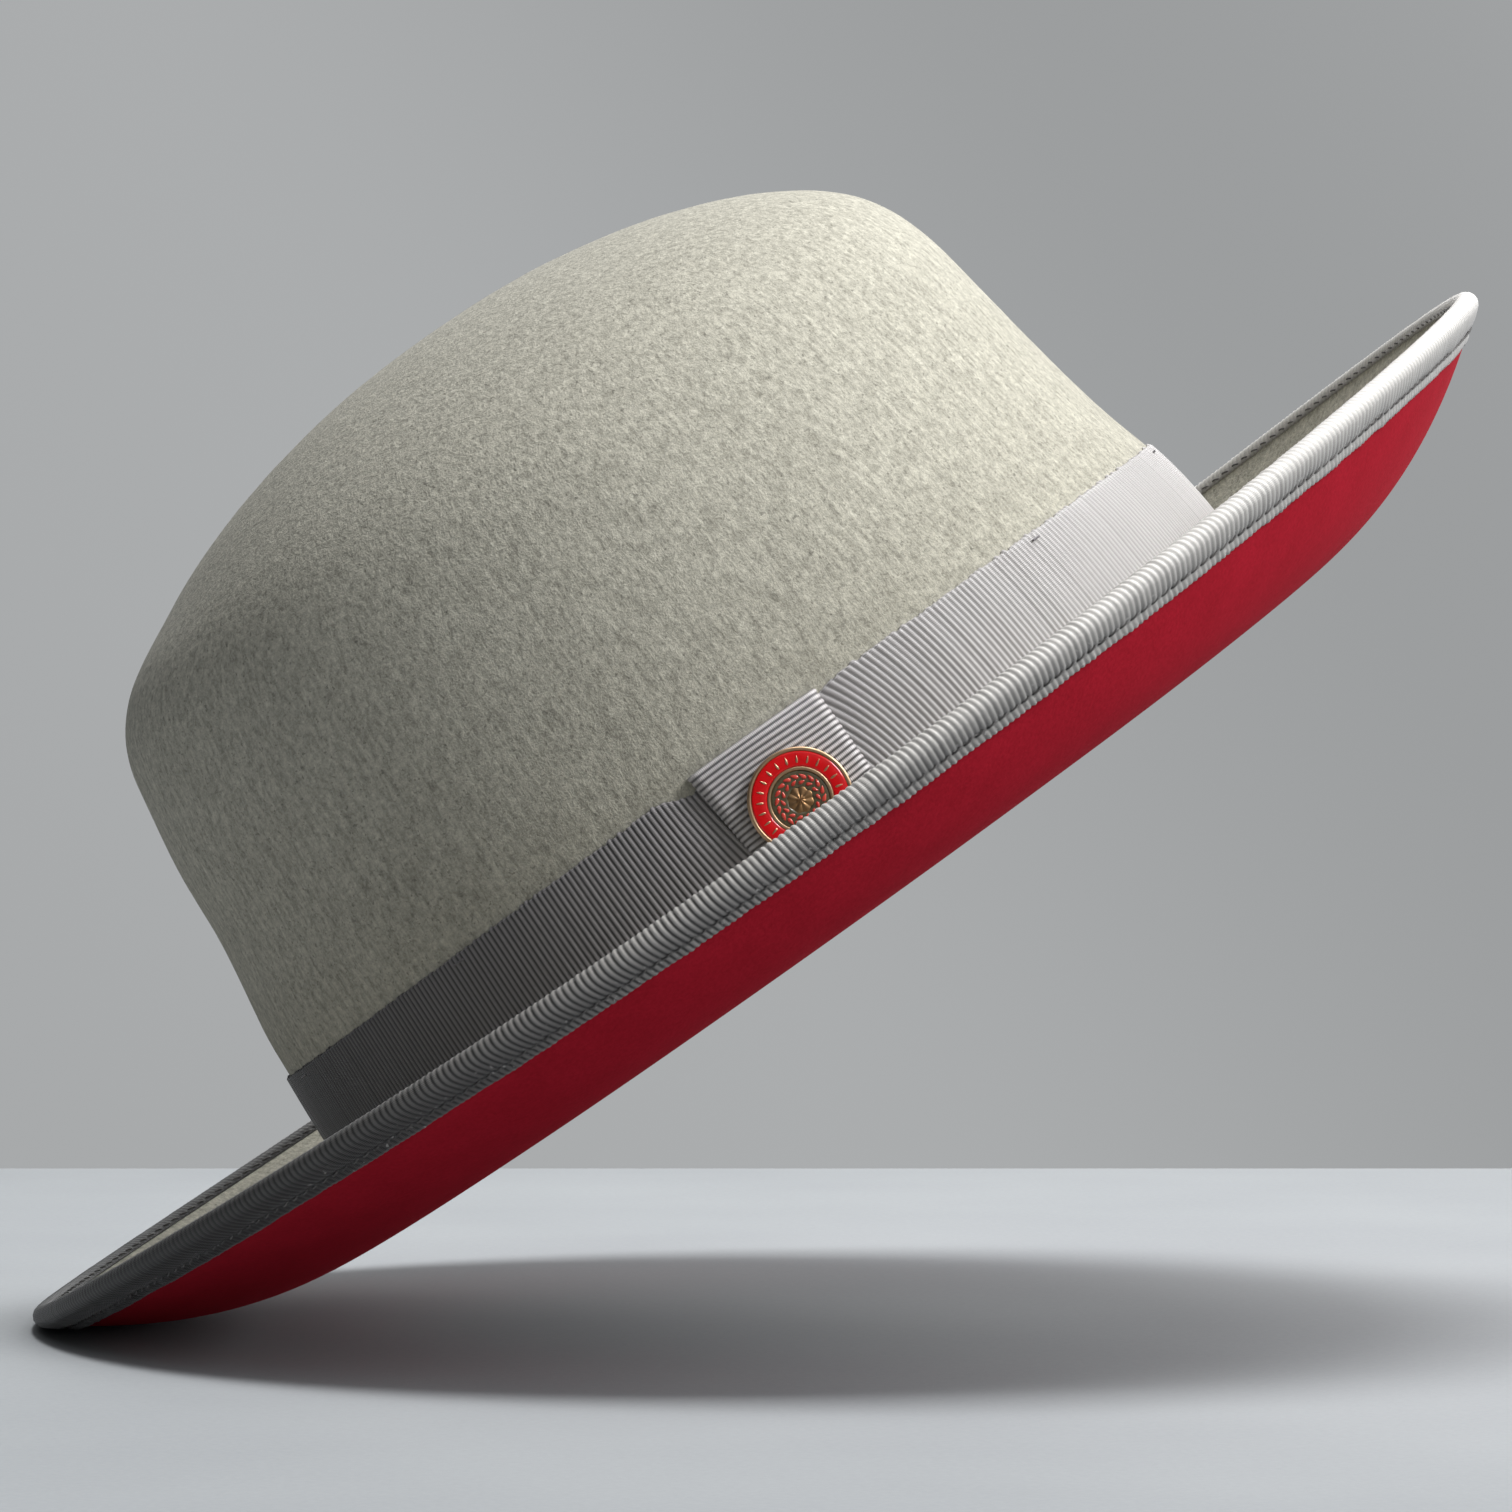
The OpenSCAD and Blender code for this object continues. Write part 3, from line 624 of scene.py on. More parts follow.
def felt():
    na = 480
    a = np.arange(na) * 2 * math.pi / na
    rows = []
    # crown, pole to fold
    t = np.concatenate([[TOP_S - 0.6, TOP_S - 1.8], np.linspace(TOP_S - 3.4, 4.0, 120), [2.0, 0.0]])
    A, T = np.meshgrid(a, t, indexing="ij")
    rows.append(crown_ps(A, T))
    # fold
    q = np.radians([22, 45, 68, 90])
    A, Q = np.meshgrid(a, q, indexing="ij")
    p = wall(A, 6.2 + 0 * A, BREAK_R * (1 - np.cos(Q)))
    p[..., 2] -= BREAK_R * np.sin(Q)
    rows.append(p)
    # top of the brim and the lip
    f = np.concatenate([[0.0], np.linspace(0.03, 1.0, 34)])
    A, F = np.meshgrid(a, f, indexing="ij")
    rows.append(brim(A, F, EDGE))
    q = np.radians([45, 0, -45])
    A, Q = np.meshgrid(a, q, indexing="ij")
    rows.append(brim(A, 1.0, LIP + LIP * np.sin(Q), LIP * np.cos(Q)))
    # underside above the red felt, and in to the opening
    f = np.linspace(1.0, 0.0, 12)
    A, F = np.meshgrid(a, f, indexing="ij")
    rows.append(brim(A, F, UNDER_T))
    p = wall(a[:, None], 6.2 + 0 * a[:, None], 1.0)
    p[..., 2] = UNDER_T
    rows.append(p)
    p = wall(a[:, None], 6.2 + 0 * a[:, None], -1.4)
    p[..., 2] = UNDER_T + 0.9
    rows.append(p)
    # inside of the crown
    t = np.concatenate([np.linspace(0.0, TOP_S - 3, 22), [TOP_S - 0.6]])
    A, T = np.meshgrid(a, t, indexing="ij")
    rows.append(crown_out(A, T, -FELT_T + 0 * A))
    g = np.concatenate(rows, 1)
    n_out = 124 + 4 + 35
    # the blocked felt isn't perfectly even, and its nap stands in small tufts
    n = outward(g)
    flat = g.reshape(-1, 3)
    d = (0.16 * noise(flat, 46, 1) + 0.07 * noise(flat, 17, 2) + 0.030 * noise(flat, 4.5, 3) + 0.028 * noise(flat, 2.3, 4)).reshape(g.shape[:2])
    fade = np.ones(g.shape[1])
    fade[:2] = 0
    fade[n_out - 4:] = 0
    # under the band the felt keeps its place
    zz = g[..., 2]
    under_band = np.clip((zz - 41) / 6, 0, 1) + (zz < 6.0)
    d = d * fade[None] * np.clip(under_band, 0, 1)
    sign = np.sign((n[:, 60] * g[:, 60]).sum(-1)).mean()
    g = g + n * (sign * d)[..., None]
    nv = g.shape[1]
    v = np.concatenate([g.reshape(-1, 3), [[0.5, 0, 136.4], [0.5, 0, 136.4 - FELT_T]]])
    q = grid_quads(na, nv, True, False)
    i = np.arange(na)
    k = (i + 1) % na
    tris = np.concatenate([np.stack([np.full(na, na * nv), k * nv, i * nv], -1), np.stack([np.full(na, na * nv + 1), i * nv + nv - 1, k * nv + nv - 1], -1)])
    ob = make("felt_shell", v, q, tris)
    return finish_piece(ob, FELT, ["felt_crown", "felt_brim"])


felt()


def underlay():
    na = 420
    a = np.arange(na) * 2 * math.pi / na
    f = np.concatenate([[0.0, 0.03, 0.07], np.linspace(0.12, 1.0, 34)])
    A, F = np.meshgrid(a, f, indexing="ij")
    low = brim(A, F, 0.0)
    lip = wall(a[:, None], 6.2 + 0 * a[:, None], 1.0)
    lip2 = lip.copy()
    lip[..., 2], lip2[..., 2] = 0.0, UNDER_T
    mid = lip.copy()
    mid[..., 2] = UNDER_T / 2
    mid[..., :2] -= unit(mid[..., :2]) * 0.25
    fu = f[::-4]
    A2, F2 = np.meshgrid(a, fu, indexing="ij")
    upp = brim(A2, F2, UNDER_T)
    d = 0.05 * noise(low.reshape(-1, 3), 30, 11).reshape(low.shape[:2]) * np.clip(F * (1 - F) * 6, 0, 1)
    low = low + outward(low) * d[..., None]
    g = np.concatenate([lip2, mid, lip, low, upp], 1)
    ob = make("brim_underlay_felt", g.reshape(-1, 3), grid_quads(na, g.shape[1]))
    return finish_piece(ob, RED, ["brim_underlay"])


underlay()


def binding():
    per = 4
    pitch = 1.30
    mid = lambda a: brim(a, 1.0, LIP, LIP)
    _, length = even_angles(mid, 10)
    ribs = int(round(length / pitch))
    n = ribs * per
    a, length = even_angles(mid, n)
    step = length / n
    aa = np.concatenate([a, a[:1] + 2 * math.pi])
    # the section, from the upper edge over the roll to the lower edge:
    # (share of the way in, or None on the roll; angle; height off the felt)
    top = [(0.970, 0.25), (0.975, 0.50), (0.982, 0.50), (0.989, 0.56), (0.996, 0.62)]
    roll = [75, 50, 25, 0, -25, -50, -75]
    under = [(0.990, 0.62), (0.974, 0.60), (0.958, 0.50), (0.944, 0.22), (0.934, 0.34), (0.920, 0.52), (0.909, 0.48), (0.905, 0.20)]
    rows, w, ribh = [], [], []
    dist = -8.5
    for fr, o in top:
        rows.append(lambda A, fr=fr, o=o: brim(A, fr, EDGE + o))
    for q in roll:
        r = math.radians(q)
        rows.append(lambda A, r=r: brim(A, 1.0, LIP + (LIP + 0.62) * math.sin(r), (LIP + 0.62) * math.cos(r)))
    for fr, o in under:
        rows.append(lambda A, fr=fr, o=o: brim(A, fr, -o))
    k_out = len(rows)
    amp = [0.3, 0.9, 0.9, 1, 1] + [1] * 7 + [1, 1, 0.9, 0.45, 0.6, 1.0, 1.0, 0.5]
    lean = np.linspace(-0.2, 1.0, k_out) * 2.2
    pts = []
    ph = np.arange(n) % per
    wave = np.array([0.0, 0.62, 1.0, 0.62])[ph]
    uvs = []
    for j in range(k_out):
        s = (np.arange(n) * step + lean[j]) % length
        A = np.interp(s, np.arange(n + 1) * step, aa)
        pts.append(rows[j](A))
    g = np.stack(pts, 1)
    nrm = outward(g)
    sign = np.sign((nrm[:, 8] * brim(a, 1.0, LIP, 1.0)).sum(-1).mean())
    nrm = nrm * sign
    # each rib differs a little, and the ribbon is pinched where it is sewn
    rng = np.random.default_rng(5)
    each = np.repeat(1 + 0.16 * rng.standard_normal(ribs), per)
    x = g[:, 8, 0]
    tight = 0.30 + 0.70 * np.exp(-((x - 15) / np.where(x < 15, 75, 95)) ** 2)
    h = 0.30 * (wave * each * tight)[:, None] * np.array(amp)[None] - 0.10
    puck = (0.12 * noise(g.reshape(-1, 3), 7, 21) + 0.10 * noise(g.reshape(-1, 3), 2.4, 22)).reshape(h.shape)
    h = h + puck * np.array([0] * 12 + [0.3, 0.5, 1, 1.4, 1.4, 1.2, 1, 0.6])[None]
    g = g + nrm * h[..., None]
    # frayed, uneven lower edge
    fray = (0.22 * rng.standard_normal(ribs)).repeat(per)
    g[:, -1] += (g[:, -1] - g[:, -3]) * np.clip(fray, -0.3, 0.5)[:, None]
    # the ribbon's inner face lies on the felt
    inner = np.stack([brim(a, 0.907, -0.06), brim(a, 0.96, -0.06), brim(a, 1.0, LIP - (LIP + 0.06) * 0.7, (LIP + 0.06) * 0.7),
                      brim(a, 1.0, LIP + (LIP + 0.06) * 0.7, (LIP + 0.06) * 0.7), brim(a, 0.985, EDGE + 0.06), brim(a, 0.972, EDGE + 0.06)], 1)
    g = np.concatenate([g, inner], 1)
    u = np.repeat((np.arange(n) * pitch / per)[:, None], g.shape[1], 1)
    v = np.repeat(np.concatenate([np.linspace(0, 18, k_out), np.linspace(18, 0, 6)])[None], n, 0)
    uv = np.stack([u, v], -1).reshape(-1, 2)
    ob = make("edge_ribbon", g.reshape(-1, 3), grid_quads(n, g.shape[1]), uv=uv)
    # the seam column's map would run backwards over one rib, so its far side is put right
    layer = ob.data.uv_layers["Cloth"]
    uvw = np.zeros(len(ob.data.loops) * 2, np.float32)
    layer.data.foreach_get("uv", uvw)
    uvw = uvw.reshape(-1, 4, 2)
    wide = (uvw[:, :, 0].max(1) - uvw[:, :, 0].min(1)) > 100
    part = uvw[wide]
    part[..., 0] = np.where(part[..., 0] < 100, part[..., 0] + n * pitch / per, part[..., 0])
    uvw[wide] = part
    layer.data.foreach_set("uv", uvw.ravel())
    finish_piece(ob, BINDING, ["edge_binding"])
    # sewing thread in the groove, one stitch every 2.6 mm, and one row on top
    heap = Heap()
    for fr, o, every in ((0.944, -0.42, 2.6), (0.982, EDGE + 0.62, 3.2)):
        m = int(length / every)
        sa, _ = even_angles(lambda x: brim(x, fr, o), m)
        span = 2 * math.pi / m
        for s in sa:
            t = np.linspace(-0.36, 0.36, 5) * span
            lift = np.array([0.32, 0.05, 0.0, 0.05, 0.32])
            line = brim(s + t, fr + np.linspace(-0.004, 0.004, 5), o + (lift if o < 0 else -lift))
            heap.add(*tube(line, 0.19, 6, False))
    ob = heap.build("binding_stitches")
    finish_piece(ob, THREAD, ["binding_thread"])


binding()


def band_top(a):
    return 37.1 + 1.5 * np.cos(a) - 0.5 * np.cos(2 * a)


KNOT_A = 1.5 * math.pi


def band():
    per, pitch = 4, 1.10
    mid = lambda a: wall(a, 22.0 + 0 * a, 0.5)
    _, length = even_angles(mid, 10)
    ribs = int(round(length / pitch))
    n = ribs * per
    a, length = even_angles(mid, n, KNOT_A)
    step = length / n
    s = np.arange(n) * step
    s = np.where(s > length / 2, s - length, s)          # 0 at the knot, + towards the back
    aa = np.concatenate([a - 2 * math.pi, a, a + 2 * math.pi])
    ss = np.concatenate([np.arange(n) * step + k * length for k in (-1, 0, 1)])
    v = np.concatenate([[0.0, 0.025], np.linspace(0.1, 0.9, 10), [0.965, 0.99, 1.0]])
    dist = np.abs(s)
    pull = np.exp(-np.maximum(dist - 14, 0) / 15)
    rng = np.random.default_rng(8)
    each = np.repeat(1 + 0.12 * rng.standard_normal(ribs), per)
    wave = np.array([0.0, 0.62, 1.0, 0.62])[np.arange(n) % per]
    edge = (0.16 * rng.standard_normal(ribs)).repeat(per) * (wave > 0.5)
    cols = []
    for vj in v:
        shift = np.where(s > 0, -10.5 * pull * vj**2.3 - 1.5 * pull * vj, 5.0 * pull * (1 - vj) ** 1.4)
        cols.append(s + shift)
    S = np.stack(cols, 1)
    A = np.interp(S, ss, aa)
    top = band_top(A)
    # the ribbon's top dips and tucks in where it is gathered under the knot
    left = (S < 0) * np.exp(-((np.abs(S) - 15.5) / 3.6) ** 2)
    right = (S > 0) * np.exp(-((np.abs(S) - 14.0) / 3.0) ** 2)
    V = np.broadcast_to(v[None], S.shape)
    z = top - BAND_H * (1 - V) - (2.2 * left + 0.9 * right) * V**3
    z[:, -1] += edge
    off = 0.12 + RIBBON_T * np.where((V < 0.02) | (V > 0.995), 0.45, 1.0) - 0.11 + 0.28 * (wave * each)[:, None] * np.where((V < 0.02) | (V > 0.995), 0.5, 1.0)
    off = off + 0.10 * noise(np.stack([S, z, 0 * S], -1), 11, 31) * np.clip(np.sin(V * math.pi) + 0.3, 0, 1)
    off = off - left * 0.35 * V**2 - right * 0.25 * V**2
    g = wall(A, z, off)
    A2 = np.stack([A[:, -1], A[:, len(v) // 2], A[:, 0]], 1)
    z2 = np.stack([z[:, -1] - 0.1, z[:, len(v) // 2], z[:, 0] + 0.1], 1)
    g2 = wall(A2, z2, 0.05 + 0 * z2)
    g = np.concatenate([g, g2], 1)
    U = np.repeat((np.arange(n) * pitch / per)[:, None], g.shape[1], 1)
    W = np.repeat(np.concatenate([v * BAND_H, [BAND_H, BAND_H / 2, 0]])[None], n, 0)
    # cut at the join under the knot, so the ribbon has two ends
    q = grid_quads(n, g.shape[1])
    i = q[:, 0] // g.shape[1]
    q = q[i != n - 1]
    nv = g.shape[1]
    caps = [[(0) * nv + k for k in range(nv)], [(n - 1) * nv + k for k in range(nv)][::-1]]
    fan = []
    for c in caps:
        fan += [(c[0], c[k], c[k + 1]) for k in range(1, nv - 1)]
    ob = make("band_ribbon", g.reshape(-1, 3), q, fan, uv=np.stack([U, W], -1).reshape(-1, 2))
    return finish_piece(ob, RIBBON, ["hat_band"]), length


_, BAND_LEN = band()

# ---------------------------------------------------------------------------
# Knot and badge. Badge frame: n out of the wall, x down it, y towards the back.
# ---------------------------------------------------------------------------
W_Z = float(np.interp(BADGE_Z, PROF_Z, PROF[:, 3]))
W_CAD = float(np.interp(BADGE_Z, CROWN[:, 0], CROWN[:, 3]))
LN = math.radians(LEAN)
B_O = np.array([0, -W_CAD, BADGE_Z])
B_N = np.array([0, -math.cos(LN), math.sin(LN)])
B_X = np.array([0, -math.sin(LN), -math.cos(LN)])
B_Y = np.array([1.0, 0, 0])


def badge_p(x, y, n):
    x, y, n = np.broadcast_arrays(x, y, n)
    return B_O + x[..., None] * B_X + y[..., None] * B_Y + n[..., None] * B_N


def curve_n(y):
    """How far the crown falls away at y along the band."""
    return -(125 - np.sqrt(125.0**2 - np.asarray(y, float) ** 2))


def knot():
    per, pitch = 5, 1.12
    half = BAND_H / 2 + 0.8
    ribs = int(round(2 * half / pitch))
    m = ribs * per + 1
    x = np.linspace(-half, half, m)             # down the knot
    ny = 41
    t = np.linspace(-1, 1, ny)
    X, T = np.meshgrid(x, t, indexing="ij")
    down = (X + half) / (2 * half)
    # the left edge leans in towards the bottom
    yl = -KNOT_W / 2 + 2.4 * down**0.9
    yr = KNOT_W / 2 - 0.1 * down
    Y = yl + (yr - yl) * (T + 1) / 2
    wave = np.array([0.0, 0.55, 1.0, 1.0, 0.55])[np.arange(m) % per]
    rng = np.random.default_rng(3)
    each = 1 + 0.1 * rng.standard_normal(ribs + 1).repeat(per)[:m]
    edge = 1 - np.clip((np.abs(T) - 0.9) / 0.1, 0, 1) ** 2
    # rolls over both edges of the band, and rounds off at its sides
    over = np.clip((np.abs(X) - (half - 1.6)) / 1.6, 0, 1)
    N = 2.45 - 1.9 * (1 - np.sqrt(np.clip(1 - over**2, 0, 1))) - 1.0 * (1 - edge) + 0.16 * np.cos(T * math.pi * 0.5)
    bow = 0.5 * np.sin(T * 3.0 + 0.5 + X * 0.12) * np.sin(down * math.pi) + 0.5 * (np.clip(-T - 0.55, 0, 1) ** 2) * (0.5 - down) * 4
    Xs = X + bow * 0.6
    rib = 0.36 * (wave * each)[:, None] * (0.35 + 0.65 * edge)
    N = N + rib + 0.07 * noise(np.stack([X, Y, 0 * X], -1), 8, 41)
    endx = np.sin(np.arange(m) * 2 * math.pi / per)[:, None] * 0
    g = badge_p(Xs, Y + np.sign(T) * (np.abs(T) > 0.98) * 0.18 * wave[:, None], N + curve_n(Y))
    # inner face
    Ni = N * 0 + np.where(over > 0.4, 0.35, 1.95)
    gi = badge_p(Xs * 0.985, Y * 0.995, np.minimum(Ni, N - 0.25) + curve_n(Y))
    nv = ny
    v = np.concatenate([g.reshape(-1, 3), gi.reshape(-1, 3)])
    q1 = grid_quads(m, nv, False, False)
    q2 = grid_quads(m, nv, False, False, m * nv)[:, ::-1]
    b = m * nv
    ring = [i * nv for i in range(m)] + [(m - 1) * nv + j for j in range(1, nv)] + [i * nv + nv - 1 for i in range(m - 2, -1, -1)] + [j for j in range(nv - 2, 0, -1)]
    r = np.array(ring)
    r2 = np.roll(r, -1)
    q3 = np.stack([r, r2, r2 + b, r + b], -1)[:, ::-1]
    uv = np.stack([X / pitch * pitch + half, Y], -1).reshape(-1, 2)
    uv = np.concatenate([uv, uv])
    ob = make("knot_ribbon", v, np.concatenate([q1, q2, q3]), uv=uv)
    finish_piece(ob, KNOT, ["bow_knot"])


knot()
paint("bow_core", BUCKRAM)


def lathe(profile, n, at, axis_x, axis_y, axis_n, name, mat, nodes, body="badge", keep_open=False):
    """Turns (r, height) round a centre. The profile starts and ends on the axis, or is a closed loop."""
    prof = np.array(profile, float)
    k = np.arange(n) * 2 * math.pi / n
    on_axis = prof[0][0] < 1e-6 and prof[-1][0] < 1e-6
    body_p = prof[1:-1] if on_axis else prof
    r, h = body_p[:, 0], body_p[:, 1]
    p = at + r[None, :, None] * (np.cos(k)[:, None, None] * axis_x + np.sin(k)[:, None, None] * axis_y) + h[None, :, None] * axis_n
    v, nv = p.reshape(-1, 3), len(body_p)
    q = grid_quads(n, nv, True, not on_axis)
    tris = []
    if on_axis:
        v = np.concatenate([v, [at + prof[0][1] * axis_n], [at + prof[-1][1] * axis_n]])
        i = np.arange(n)
        j = (i + 1) % n
        tris = np.concatenate([np.stack([np.full(n, n * nv), i * nv, j * nv], -1), np.stack([np.full(n, n * nv + 1), j * nv + nv - 1, i * nv + nv - 1], -1)])
    ob = make(name, v, q, tris)
    return finish_piece(ob, mat, nodes, body)


def arc(cx, cy, r, a0, a1, n=6):
    return [(cx + r * math.cos(math.radians(t)), cy + r * math.sin(math.radians(t))) for t in np.linspace(a0, a1, n)]


def badge():
    n0, R = 3.1, BADGE_R
    top = n0 + 1.3
    ring_in, field_r, boss_r = 0.62 * R, 0.56 * R, 0.22 * R
    floor = top - 0.45
    prof = [(0, n0)] + [(R - 0.35, n0)] + arc(R - 0.35, n0 + 0.35, 0.35, -90, 0, 5) + arc(R - 0.35, top - 0.35, 0.35, 0, 90, 6) \
        + arc(R - 0.60, top - 0.12, 0.12, 90, 180, 3) + [(R - 0.75, floor)] + [(ring_in, floor)] + arc(ring_in - 0.12, top - 0.12, 0.12, 0, 90, 4) \
        + arc(field_r + 0.12, top - 0.12, 0.12, 90, 180, 4) + [(field_r, floor)] + [(boss_r + 0.05, floor), (boss_r, floor + 0.12)] \
        + [(0.9 * boss_r, floor + 0.14), (0, floor + 0.16)]
    lathe(prof, 128, B_O, B_X, B_Y, B_N, "badge_metal", GOLD, ["badge_body"])
    e = 0.05
    # enamel lies domed between its walls
    def pool(r0, r1, base, h, dome):
        m = np.linspace(0, 1, 9)
        return [(r0 + (r1 - r0) * t, base + h + dome * math.sin(math.pi * t)) for t in m] + [(r1, base + 0.02), (r0, base + 0.02)]
    lathe(pool(ring_in + e, R - 0.75 - e, floor, 0.33, 0.06), 128, B_O, B_X, B_Y, B_N, "badge_ring_glaze", ENAMEL_RED, ["badge_ring_enamel"])
    lathe(pool(boss_r + 0.1, field_r - e, floor, 0.22, 0.04), 128, B_O, B_X, B_Y, B_N, "badge_field_glaze", ENAMEL_DARK, ["badge_field_enamel"])
    # low rosette in the middle
    nu, nr = 96, 12
    th, rr = np.meshgrid(np.arange(nu) * 2 * math.pi / nu, np.linspace(1, 0.06, nr), indexing="ij")
    petal = np.abs(np.cos(4 * th))
    rad = boss_r * 1.22 * rr * (0.86 + 0.14 * petal)
    high = floor + 0.14 + 0.30 * np.sqrt(np.clip(1 - rr**2, 0, 1)) * (0.55 + 0.45 * petal) + 0.14 * (rr < 0.3)
    pts = badge_p(rad * np.cos(th), rad * np.sin(th), high).reshape(-1, 3)
    low = badge_p(rad[:, 0] * np.cos(th[:, 0]), rad[:, 0] * np.sin(th[:, 0]), np.full(nu, floor - 0.05))
    pts = np.concatenate([pts, low, badge_p(np.array([0.0]), np.array([0.0]), np.array([floor + 0.60])), badge_p(np.array([0.0]), np.array([0.0]), np.array([floor - 0.05]))])
    i = np.arange(nu)
    j = (i + 1) % nu
    side = np.stack([i * nr, j * nr, nu * nr + j, nu * nr + i], -1)
    k = nu * nr + nu
    tr = np.concatenate([np.stack([np.full(nu, k), j * nr + nr - 1, i * nr + nr - 1], -1)[:, ::-1], np.stack([np.full(nu, k + 1), nu * nr + i, nu * nr + j], -1)[:, ::-1]])
    ob = make("badge_rosette", pts, np.concatenate([grid_quads(nu, nr, True, False), side[:, ::-1]]), tr)
    finish_piece(ob, BRONZE, [], "badge")
    # a plain wreath of drops round it, in two rows
    heap = Heap()
    u, v = np.meshgrid(np.linspace(0, 2 * math.pi, 13)[:-1], np.linspace(0.12, 1, 5), indexing="ij")
    def drop(r, ang, length, width, turn, base, h):
        ca, sa = math.cos(ang), math.sin(ang)
        ct, st = math.cos(ang + turn), math.sin(ang + turn)
        lx, ly = v * length / 2 * np.cos(u) , v * width / 2 * np.sin(u) * (1 - 0.45 * np.cos(u))
        x = r * ca + lx * ct - ly * st
        y = r * sa + lx * st + ly * ct
        n = base + h * np.sqrt(np.clip(1 - v**2, 0, 1))
        c = badge_p(np.array([r * ca]), np.array([r * sa]), np.array([base + h]))
        pts = np.concatenate([badge_p(x, y, n).reshape(-1, 3), badge_p(x[:, -1], y[:, -1], np.full(12, base - 0.1)), c, badge_p(np.array([r * ca]), np.array([r * sa]), np.array([base - 0.1]))])
        q = grid_quads(12, 5, True, False)
        i = np.arange(12)
        j = (i + 1) % 12
        q2 = np.stack([i * 5 + 4, j * 5 + 4, 60 + j, 60 + i], -1)
        tr = np.concatenate([np.stack([np.full(12, 72), j * 5, i * 5], -1), np.stack([np.full(12, 73), 60 + i, 60 + j], -1)])
        heap.add(pts, np.concatenate([q, q2]), tr)
    for k in range(18):
        ang = k * 2 * math.pi / 18
        drop(0.445 * R, ang, 1.55, 0.72, 1.15, floor + 0.24, 0.22)
    for k in range(14):
        ang = (k + 0.5) * 2 * math.pi / 14
        drop(0.335 * R, ang, 1.25, 0.62, -1.0, floor + 0.24, 0.22)
    ob = heap.build("badge_wreath")
    finish_piece(ob, ENAMEL_CORAL, ["badge_beads"], "badge")
    # plain gold dashes on the red ring, evenly spaced
    heap = Heap()
    for k in range(24):
        ang = k * 2 * math.pi / 24
        drop(0.765 * R, ang, 1.5, 0.42, 0.0, floor + 0.36, 0.16)
    ob = heap.build("badge_dashes")
    finish_piece(ob, GOLD, [], "badge")


badge()
paint("badge_post", STEEL)
paint("clutch_body", BRASS)
paint("clutch_spring", STEEL)
paint("band_tacks", RIBBON_PLAIN)

# ---------------------------------------------------------------------------
# Inside of the hat
# ---------------------------------------------------------------------------
SWEAT_O, SWEAT_T, SWEAT_TOP = -FELT_T - 2.7, 1.1, 38.0
LINE_O, LINING_T = -FELT_T - 0.25, 0.45


def t_of(z):
    """Length along the profile at height z, on the side wall."""
    return float(np.interp(z, PROF_Z, PROF_S))


def strip_solid(name, outer, inner, wrap, uv=None):
    """A closed skin between two grids of points, [i round, j up]."""
    nu, nv = outer.shape[:2]
    b = nu * nv
    v = np.concatenate([outer.reshape(-1, 3), inner.reshape(-1, 3)])
    q = [grid_quads(nu, nv, wrap, False), grid_quads(nu, nv, wrap, False, b)[:, ::-1]]
    i = np.arange(nu if wrap else nu - 1)
    k = (i + 1) % nu
    q.append(np.stack([i * nv, i * nv + b, k * nv + b, k * nv], -1))
    q.append(np.stack([k * nv + nv - 1, k * nv + nv - 1 + b, i * nv + nv - 1 + b, i * nv + nv - 1], -1))
    if not wrap:
        j = np.arange(nv - 1)
        q.append(np.stack([j, j + 1, j + 1 + b, j + b], -1))
        e = (nu - 1) * nv
        q.append(np.stack([e + j + b, e + j + 1 + b, e + j + 1, e + j], -1))
    return make(name, v, np.concatenate(q), uv=None if uv is None else np.concatenate([uv, uv]))


